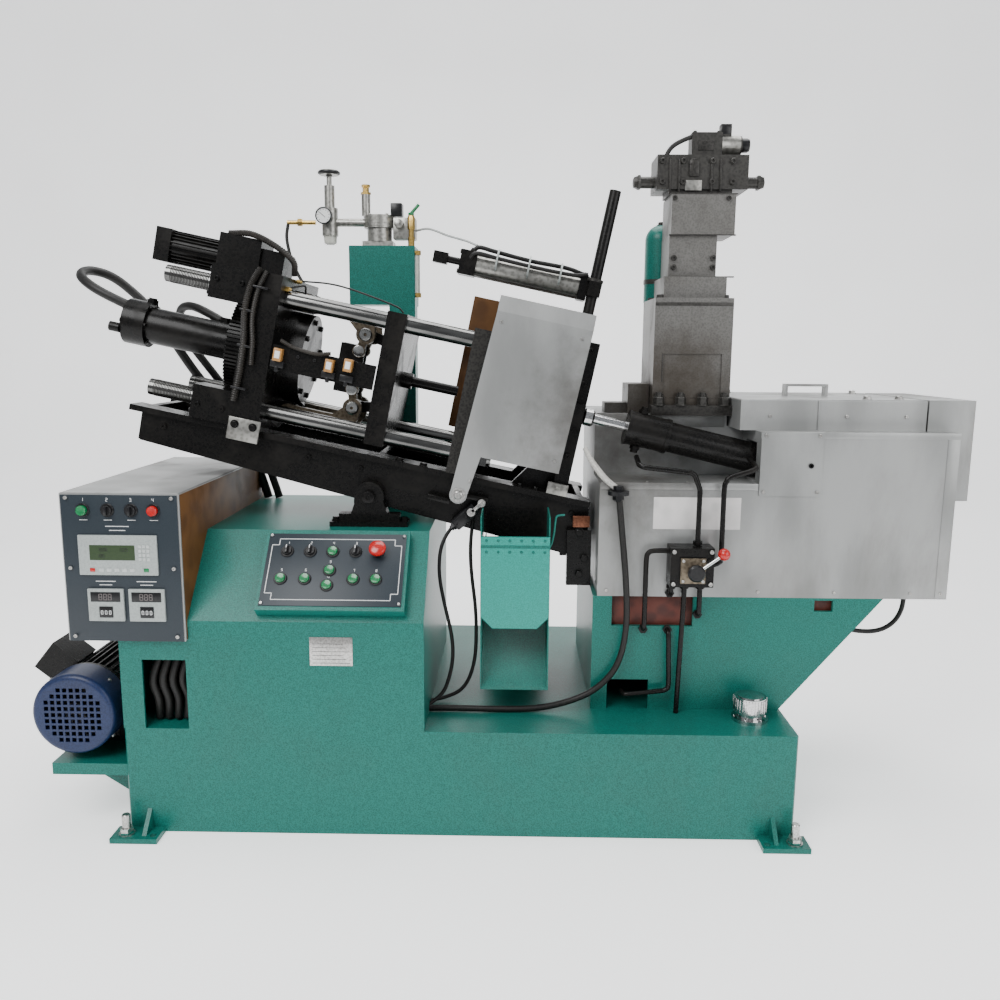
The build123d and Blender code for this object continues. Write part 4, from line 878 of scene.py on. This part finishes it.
# Toggle: cast links in bare tan metal on ground pins with end washers and grease nipples. Each pin is
# pressed into the link or crosshead that it turns with; the tail pins sit in the platen's lugs.
KNUCKLE, CROSS_PIN, TAIL_PIN = (-32, 93), (-45, 49), (-190, 138)
dress("tan_cast", "cross_links_lower cross_links_upper rear_link_lower rear_link_upper")
dress("black_paint", "crosshead front_link_lower front_link_upper")
for tag, sw in (("upper", 1), ("lower", -1)):
    bm = bmesh.new()
    for side in (-1, 1):
        turned(bm, (KNUCKLE[0], side * 65.5, sw * KNUCKLE[1]), (0, side, 0),
               [(0, 16.5), (3.5, 16.5), (5, 14.5), (6, 14.5), (6.4, 13.5), (6.4, 4), (4, 3)], 32)
    piece("knuckle_pin_" + tag, bm, "bright_steel", CLAMP, "rear_link_" + tag)
    bm = bmesh.new()
    for side in (-1, 1):
        turned(bm, (CROSS_PIN[0], side * 45.5, sw * CROSS_PIN[1]), (0, side, 0),
               [(0, 14), (1.6, 14), (2, 12.5), (2, 4)], 32)
    piece("cross_pin_" + tag, bm, "bright_steel", CLAMP, "crosshead")
bm = bmesh.new()
for sw in (-1, 1):
    for side in (-1, 1):
        turned(bm, (TAIL_PIN[0], side * 69.5, sw * TAIL_PIN[1]), (0, side, 0),
               [(0, 12.6), (3, 12.6), (4, 11.5), (4, 4), (2, 3)], 32)
piece("tail_pins", bm, "bright_steel", CLAMP)

# Proximity sensors of the clamp: amber plastic bodies with pale labels, each in a black block that
# is clamped on the painted switch rail and slides along it for setting.
SENSORS = ((-204, 6), (-81, 6), (-37, 16))
finish("amber_plastic", (0.30, 0.14, 0.035), (0.38, 0.19, 0.055), 0.3, dirt=0.1, bump=0.0)
dress("black_paint", "switch_rail")
bm = bmesh.new()
for u, w in SENSORS:
    box(bm, (u - 16, -195, -24), (u + 16, -184, -8), 1.5)
    box(bm, (u - 4, -196, -34), (u + 4, -186, -22), 1)
for u in (-160, -120, -50):
    screw(bm, (u, -184, 10), (0, -1, 0), 4)
piece("sensor_blocks", bm, "black_plastic", CLAMP)
bm = bmesh.new()
for u, w in SENSORS:
    box(bm, (u - 10, -206, w - 15), (u + 10, -184, w + 15), 1.5)
piece("sensor_faces", bm, "amber_plastic", CLAMP)
bm = bmesh.new()
for u, w in SENSORS:
    box(bm, (u - 6, -206.5, w - 8), (u + 6, -205.8, w + 9))
piece("sensor_labels", bm, "white_print", CLAMP)

# Conduits of the clamp: corrugated black plastic, two down the tail platen's face, one over the gear
# motor and one along the rail; moulded clips hold the two on the platen.
finish("ribbed_conduit", (0.007, 0.006, 0.005), (0.014, 0.012, 0.010), 0.42, dirt=0.3, shine=0.35)
bm = bmesh.new()
tube(bm, [(-276, -196, 194), (-292, -199, 150), (-296, -200, 92), (-288, -200, 25), (-286, -199, -52),
          (-290, -197, -122)], 8.5, 12, 26, 1.6)
tube(bm, [(-262, -196, 190), (-274, -200, 140), (-276, -202, 80), (-266, -202, 20), (-262, -200, -30)],
     6.5, 12, 22, 1.3)
tube(bm, [(-395, -88, 262), (-340, -104, 270), (-280, -120, 256), (-225, -124, 228), (-214, -126, 194)],
     8, 12, 22, 1.5)
tube(bm, [(-204, -192, 40), (-170, -193, 30), (-120, -192, 26), (-84, -192, 34)], 5, 10, 16, 1.0)
piece("conduits", bm, "ribbed_conduit", CLAMP)
bm = bmesh.new()
for u, w in ((-296, 92), (-289, 10), (-288, -90), (-274, 150)):
    box(bm, (u - 12, -206, w - 2.5), (u + 24, -190.2, w + 2.5), 1)
piece("conduit_clips", bm, "black_plastic", CLAMP)

# Grease lines: thin black tube from brass distributor fittings on the tail platen to the toggle pins
# and over the bars, held by the unions at their ends.
finish("brass", (0.42, 0.27, 0.07), (0.58, 0.40, 0.13), 0.28, metal=1.0, dirt=0.25)
bm = bmesh.new()
tube(bm, [(-222, -150, 160), (-190, -120, 176), (-192, -85, 165), (-192, -76, 152)], 2.4, 8, 10)
tube(bm, [(-222, -140, -150), (-200, -120, -172), (-196, -90, -166), (-192, -76, -150)], 2.4, 8, 10)
tube(bm, [(-222, -60, 186), (-120, -52, 196), (20, -60, 178), (50, -62, 165)], 2.2, 8, 12)
piece("grease_lines", bm, "black_hose", CLAMP)
bm = bmesh.new()
for u, y, w in ((-222, -150, 160), (-222, -140, -150), (-222, -60, 184)):
    turned(bm, (u - 2, y, w), (1, 0, 0), [(0, 6), (8, 6), (8, 4.2), (14, 4.2)], 6)
for w in (152, -150):
    turned(bm, (-192, -72, w), UP if w > 0 else (0, 0, -1), [(-14, 5), (0, 5), (0, 3.5), (5, 3.5)], 6)
piece("grease_fittings", bm, "brass", CLAMP)

# Safety switch of the guard: black moulded box screwed to the beam's side, with a gland for its lead
# and a zinc-plated arm that carries a roller under the guard's edge.
SWITCH_TILT = math.radians(-41.6)
SWITCH = MM @ Matrix.Translation((3, -172, 716)) @ Matrix.Rotation(SWITCH_TILT, 4, "Y")
bm = bmesh.new()
box(bm, (-38, -14, -15), (30, 16, 15), 3)
box(bm, (-34, -17, -12), (4, -13, 12), 1)
turned(bm, (-37, 0, 0), (-1, 0, 0), [(0, 11), (7, 11), (7, 8), (13, 8)], 6)
box(bm, (-20, 14, -8), (14, 21.5, 8), 1)
for x in (-30, 0):
    screw(bm, (x, -17, 0), (0, -1, 0), 3)
piece("safety_switch", bm, "black_plastic", SWITCH)
bm = bmesh.new()
turned(bm, (16, -13, 0), (0, -1, 0), [(0, 10), (9, 10)], 24)
box(bm, (12, -22, -4.5), (54, -18, 4.5), 1)
turned(bm, (50, -14, 0), (0, -1, 0), [(0, 9.5), (7, 9.5)], 28)
for x in (16, 50):
    turned(bm, (x, -21, 0), (0, -1, 0), [(0, 4), (4, 4)], 6)
piece("switch_roller", bm, "zinc_screw", SWITCH)

# Beam fittings: painted rail beam on its trunnion, bright shoes under the tail platen, a gib at the
# nose, stop bars and pad screws, all bolted on; a copper pad takes the thrust at the furnace.
finish("copper", (0.11, 0.040, 0.022), (0.19, 0.075, 0.042), 0.4, metal=0.8, dirt=0.4)
dress("black_paint", "adjust_brackets rail_beam trunnion_brackets")
bm = bmesh.new()
for side in (-1, 1):
    y0, y1 = sorted((side * 189.8, side * 197))
    box(bm, (-294, y0, -214), (-218, y1, -160), 1)
piece("tail_shoes", bm, "aluminium_body", CLAMP)
bm = bmesh.new()
for u in (-278, -234):
    bolt(bm, (u, -197, -176), (0, -1, 0), 8)
for u in (120, 180):
    bolt(bm, (u, -158, -186), UP, 9)
for u in (420, 460):
    bolt(bm, (u, -152, -186), UP, 8)
for u in (-460, -100, 30, 330, 560):
    screw(bm, (u, -150, -225), (0, -1, 0), 7)
piece("beam_bolts", bm, "black_paint", CLAMP)
bm = bmesh.new()
box(bm, (486, -168, -186), (537, -150.2, -158), 1)
screw(bm, (511, -168, -170), (0, -1, 0), 6)
piece("nose_gib", bm, "aluminium_body", CLAMP)
bm = bmesh.new()
box(bm, (206, -178, -262), (262, -150.2, -248), 2)
box(bm, (290, -176, -240), (352, -150.2, -228), 2)
piece("stop_bars", bm, "black_paint", CLAMP)
bm = bmesh.new()
for x, z in ((279, 676), (292, 612), (280, 572)):
    bolt(bm, (x, -174, z), (0, -1, 0), 10)
for side in (-1, 1):
    for x in (-318, -150):
        bolt(bm, (x, side * 167, 701), UP, 9)
    turned(bm, (-234, side * 194, 761), (0, side, 0), [(0, 15), (4, 15), (5, 12), (5, 5), (2, 4)], 28)
piece("pad_bolts", bm, "black_paint")
bm = bmesh.new()
box(bm, (262, -182, 690), (304, -173.5, 718), 2)
piece("copper_pad", bm, "copper")

# Guards: front sheet galvanised and folded back at the top, turning on a pivot bolt with a big washer; the
# fixed rear sheet behind the die space is galvanised too, shown brown as a painted reflection of brown
# surroundings.
dress("galvanised_sheet", "front_guard")
# Rear guard in the brown finish: painted reflection of brown surroundings, not a brown coat.
dress("brown_sheet", "rear_guard")
bm = bmesh.new()
turned(bm, (279, -218, -228), (0, -1, 0), [(0, 17), (2.5, 17), (2.5, 10), (8, 10), (9.5, 8)], 30)
for u, w in ((300, -190), (486, 190), (486, -100), (296, 190)):
    screw(bm, (u, -218, w), (0, -1, 0), 3.6)
piece("guard_bolts", bm, "zinc_screw", CLAMP, "front_guard")

# Air cylinder and post: ground barrel between square heads tied by four rods, clamped on the post;
# two black hoses strapped along it and pale tubes to the service unit.
dress("black_paint", "air_cylinder")
finish("pale_tube", (0.42, 0.44, 0.43), (0.55, 0.57, 0.56), 0.25, dirt=0.05, bump=0.0, clear=0.3)
bm = bmesh.new()
for dy in (-24, 24):
    for dw in (-24, 24):
        rod(bm, (196, -20 + dy, 318 + dw), (470, -20 + dy, 318 + dw), 3, 14)
        turned(bm, (162, -20 + dy, 318 + dw), (-1, 0, 0), [(-3, 6), (5, 6)], 6)
piece("air_tie_rods", bm, "dark_iron", CLAMP)
bm = bmesh.new()
turned(bm, (201, -20, 318), (1, 0, 0), [(0, 26.6), (260, 26.6)], 40)
piece("air_barrel", bm, "aluminium_body", CLAMP)
bm = bmesh.new()
tube(bm, [(186, -20, 350), (200, -22, 362), (240, -24, 360), (330, -25, 356), (420, -24, 358),
          (468, -22, 352)], 5.5, 12, 10)
tube(bm, [(184, -53, 330), (200, -58, 344), (260, -56, 342), (360, -56, 340), (440, -56, 342),
          (474, -52, 350)], 5, 12, 10)
piece("air_hoses", bm, "black_hose", CLAMP)
bm = bmesh.new()
for u in (250, 330, 410):
    turned(bm, (u - 2, -38, 338), (1, 0, 0), [(0, 28), (4, 28)], 24)
piece("air_straps", bm, "display_grey", CLAMP)
bm = bmesh.new()
turned(bm, (186, -20, 348), UP, [(0, 7), (6, 7), (6, 5), (10, 5)], 6)
turned(bm, (474, -20, 348), UP, [(0, 7), (6, 7), (6, 5), (10, 5)], 6)
turned(bm, (497, -60, 336), UP, [(0, 20), (6, 20), (8, 15)], 30)
piece("air_fittings", bm, "dark_iron", CLAMP)

# Lubricator tank and air service unit: green tank with a sight glass in brass nuts, filter with a
# clear bowl, regulator under a black handwheel, round gauge, solenoid and lever valve.
GAUGE_X, GAUGE_Z = -409, 1475
dress("hammertone_green", "lubricator_tank")
dress("aluminium_body", "air_service_unit")
finish("clear_bowl", (0.55, 0.56, 0.50), (0.62, 0.62, 0.56), 0.12, dirt=0.1, bump=0.0, clear=0.5)
finish("gauge_white", (0.72, 0.73, 0.72), (0.78, 0.79, 0.78), 0.3, dirt=0.02, bump=0.0)
bm = bmesh.new()
rod(bm, (-153, 216, 1268), (-153, 216, 1372), 6, 20)
turned(bm, (-400, 250, 1402), UP, [(0, 10), (4, 17), (26, 19)], 30)
piece("sight_glass", bm, "clear_bowl")
bm = bmesh.new()
for z in (1258, 1372):
    turned(bm, (-153, 216, z), UP, [(0, 9), (12, 9)], 6)
    rod(bm, (-162, 216, z + 6), (-150, 216, z + 6), 6, 16)
rod(bm, (-440, 250, 1462), (-520, 250, 1462), 6, 16)
turned(bm, (-478, 250, 1462), (-1, 0, 0), [(0, 11), (12, 11)], 6)
turned(bm, (-299, 250, 1537), UP, [(0, 14), (6, 14), (6, 9), (18, 9), (20, 12), (26, 12)], 6)
piece("air_brass", bm, "brass")
bm = bmesh.new()
turned(bm, (GAUGE_X, 206, GAUGE_Z), (0, -1, 0), [(0, 19.4), (1, 19.4)], 40)
piece("gauge_face", bm, "gauge_white")
bm = bmesh.new()
GAUGE = MM @ Matrix.Translation((GAUGE_X, 204.8, GAUGE_Z)) @ Matrix.Rotation(math.radians(90), 4, "X")
for k in range(11):
    angle = math.radians(225 - 27 * k)
    out = Vector((math.cos(angle), math.sin(angle)))
    stroke(bm, 14 * out, 17.5 * out, 0.9, 0, 0.3)
stroke(bm, (5, -5), (-11, 9), 1.3, 0.3, 0.6)
piece("gauge_marks", bm, "black_plastic", GAUGE)
bm = bmesh.new()
WHEEL = Vector((-400, 250, 1594))
around = [Vector((math.cos(a), math.sin(a), 0)) for a in (math.tau * k / 24 for k in range(25))]
tube(bm, [WHEEL + 26 * out for out in around], 5, 12, 2)
for out in around[0:24:8]:
    rod(bm, WHEEL, WHEEL + 25 * out, 3.4, 12)
turned(bm, (-400, 250, 1586), UP, [(0, 9), (16, 9), (18, 6)], 24)
box(bm, (-228, 224, 1478), (-196, 262, 1512), 2.5)
piece("regulator_wheel", bm, "black_plastic")
bm = bmesh.new()
for z in (1450, 1458, 1466, 1474):
    turned(bm, (-262, 250, z), UP, [(0, 43.4), (3, 43.4)], 40)
for k in range(4):
    a = math.tau * (k + 0.5) / 4
    screw(bm, (-262 + 34 * math.cos(a), 250 + 34 * math.sin(a), 1480), UP, 4)
box(bm, (-222, 228, 1416), (-160, 272, 1474), 3)
turned(bm, (-205, 228, 1456), (0, -1, 0), [(0, 12), (14, 12), (16, 8)], 24)
piece("filter_rings", bm, "aluminium_body")
bm = bmesh.new()
rod(bm, (-170, 214, 1482), (-148, 212, 1506), 4.5, 14)
turned(bm, (-170, 214, 1478), UP, [(0, 8), (6, 8)], 20)
piece("valve_handle", bm, "button_plastic")
bm = bmesh.new()
turned(bm, (-170, 214, 1396), UP, [(0, 9), (24, 9), (24, 7), (44, 7), (44, 10), (76, 10), (82, 7)], 6)
piece("tank_valve", bm, "brass")
bm = bmesh.new()
turned(bm, (GAUGE_X, 207, GAUGE_Z), (0, -1, 0), [(-6, 23), (2, 23), (4, 21), (4, 19.6), (1.5, 19.5)], 40)
piece("gauge_rim", bm, "black_plastic")
bm = bmesh.new()
tube(bm, [(-518, 250, 1456), (-522, 248, 1420), (-512, 244, 1370), (-492, 240, 1322), (-470, 232, 1286)],
     4.5, 12, 10)
piece("service_hose", bm, "black_hose")
bm = bmesh.new()
tube(bm, [(-160, 240, 1440), (-120, 200, 1440), (-60, 120, 1412), (-10, 60, 1392), (20, 20, 1376)],
     3.2, 10, 12)
piece("service_tube", bm, "pale_tube")

# Chute for the castings: folded sheet in green enamel, its front flap in the same green drawn paler as a
# painted highlight on its upturned face; hung on a hinge with riveted leaves. A bent wire hook beside it
# holds the flap up.
# Paler green of the flap: the same enamel lightened as a painted highlight, a lit copy of the green.
finish("flap_green_painted_highlight", (0.004, 0.190, 0.150), (0.010, 0.270, 0.220), 0.32, cells=420.0, dirt=0.05, bump=0.14,
       shine=0.4)
dress("hammertone_green", "parts_chute")
bm = bmesh.new()
rod(bm, (42, -307, 668), (203, -307, 668), 4, 16)
for k in range(6):
    for z in (682, 655):
        turned(bm, (56 + k * 27, -308, z), (0, -1, 0), [(0, 4), (1.6, 3.4), (2.4, 1.5)], 16)
tube(bm, [(236, -296, 742), (219, -296, 739), (215, -296, 728), (212, -296, 700), (207, -297, 676),
          (203, -299, 668), (197, -303, 664)], 2.2, 10, 6)
piece("chute_hinge", bm, "hammertone_green")
bm = bmesh.new()
# Flap sheet in the painted-highlight green.
prism(bm, [(43, 691), (202, 691), (202, 501), (174, 473), (71, 473), (43, 501)], -308.8, -307.6)
piece("chute_flap", bm, "flap_green_painted_highlight")

# Hoses in the pedestal: four black rubber hoses of the hydraulics, held side by side on a rail
# behind the service window.
bm = bmesh.new()
for k in range(4):
    x = -706 + k * 22
    tube(bm, [(x, -350, 262), (x + 4, -362 + k * 4, 310), (x - 4, -368 + k * 3, 360), (x + 10, -352, 415),
              (x + 18, -330, 440)], 9, 14, 8)
box(bm, (-722, -346, 330), (-618, -336, 344), 1)
piece("pedestal_hoses", bm, "black_hose")

# Stage: pale floor and backdrop bent in one sweep a hair below the feet, with three soft square
# lamps, one in front on either side and one above.
STAGE_HALF = 6.0
STAGE_DROP = 0.0005
finish("stage_white", (0.86, 0.86, 0.86), (0.88, 0.88, 0.88), 0.8, cells=2.0, dirt=0.0, bump=0.0, glow=0.9)
bm = bmesh.new()
sweep = [(-3.2, 0.0), (2.6, 0.0), (3.4, 0.12), (4.0, 0.5), (4.3, 1.1), (4.35, 4.5)]
line = [bm.verts.new((-STAGE_HALF, y, z - STAGE_DROP)) for y, z in sweep]
edges = [bm.edges.new(pair) for pair in zip(line, line[1:])]
grown = bmesh.ops.extrude_edge_only(bm, edges=edges)["geom"]
far_side = [part for part in grown if isinstance(part, bmesh.types.BMVert)]
bmesh.ops.translate(bm, vec=(2 * STAGE_HALF, 0, 0), verts=far_side)
mesh = bpy.data.meshes.new("stage")
bm.to_mesh(mesh)
bm.free()
for face in mesh.polygons:
    face.use_smooth = True
mesh.materials.append(FINISHES["stage_white"])
stage = bpy.data.objects.new("stage", mesh)
scene.collection.objects.link(stage)
world = bpy.data.worlds.new("studio")
world.use_nodes = True
world.node_tree.nodes["Background"].inputs["Color"].default_value = (0.93, 0.96, 1.0, 1.0)
world.node_tree.nodes["Background"].inputs["Strength"].default_value = 0.42
scene.world = world


def area_light(name, place, aim, size, power):
    """Soft square lamp that looks at a point."""
    data = bpy.data.lights.new(name, "AREA")
    data.shape = "SQUARE"
    data.size = size
    data.energy = power
    lamp = bpy.data.objects.new(name, data)
    lamp.location = place
    lamp.rotation_euler = (Vector(aim) - Vector(place)).to_track_quat("-Z", "Y").to_euler()
    scene.collection.objects.link(lamp)


area_light("key", (-1.6, -2.6, 3.4), (0.0, 0.0, 0.6), 2.2, 150)
area_light("fill", (2.8, -2.4, 2.0), (0.2, 0.0, 0.7), 2.4, 60)
area_light("top", (0.2, 0.6, 3.8), (0.1, 0.0, 0.5), 2.6, 120)
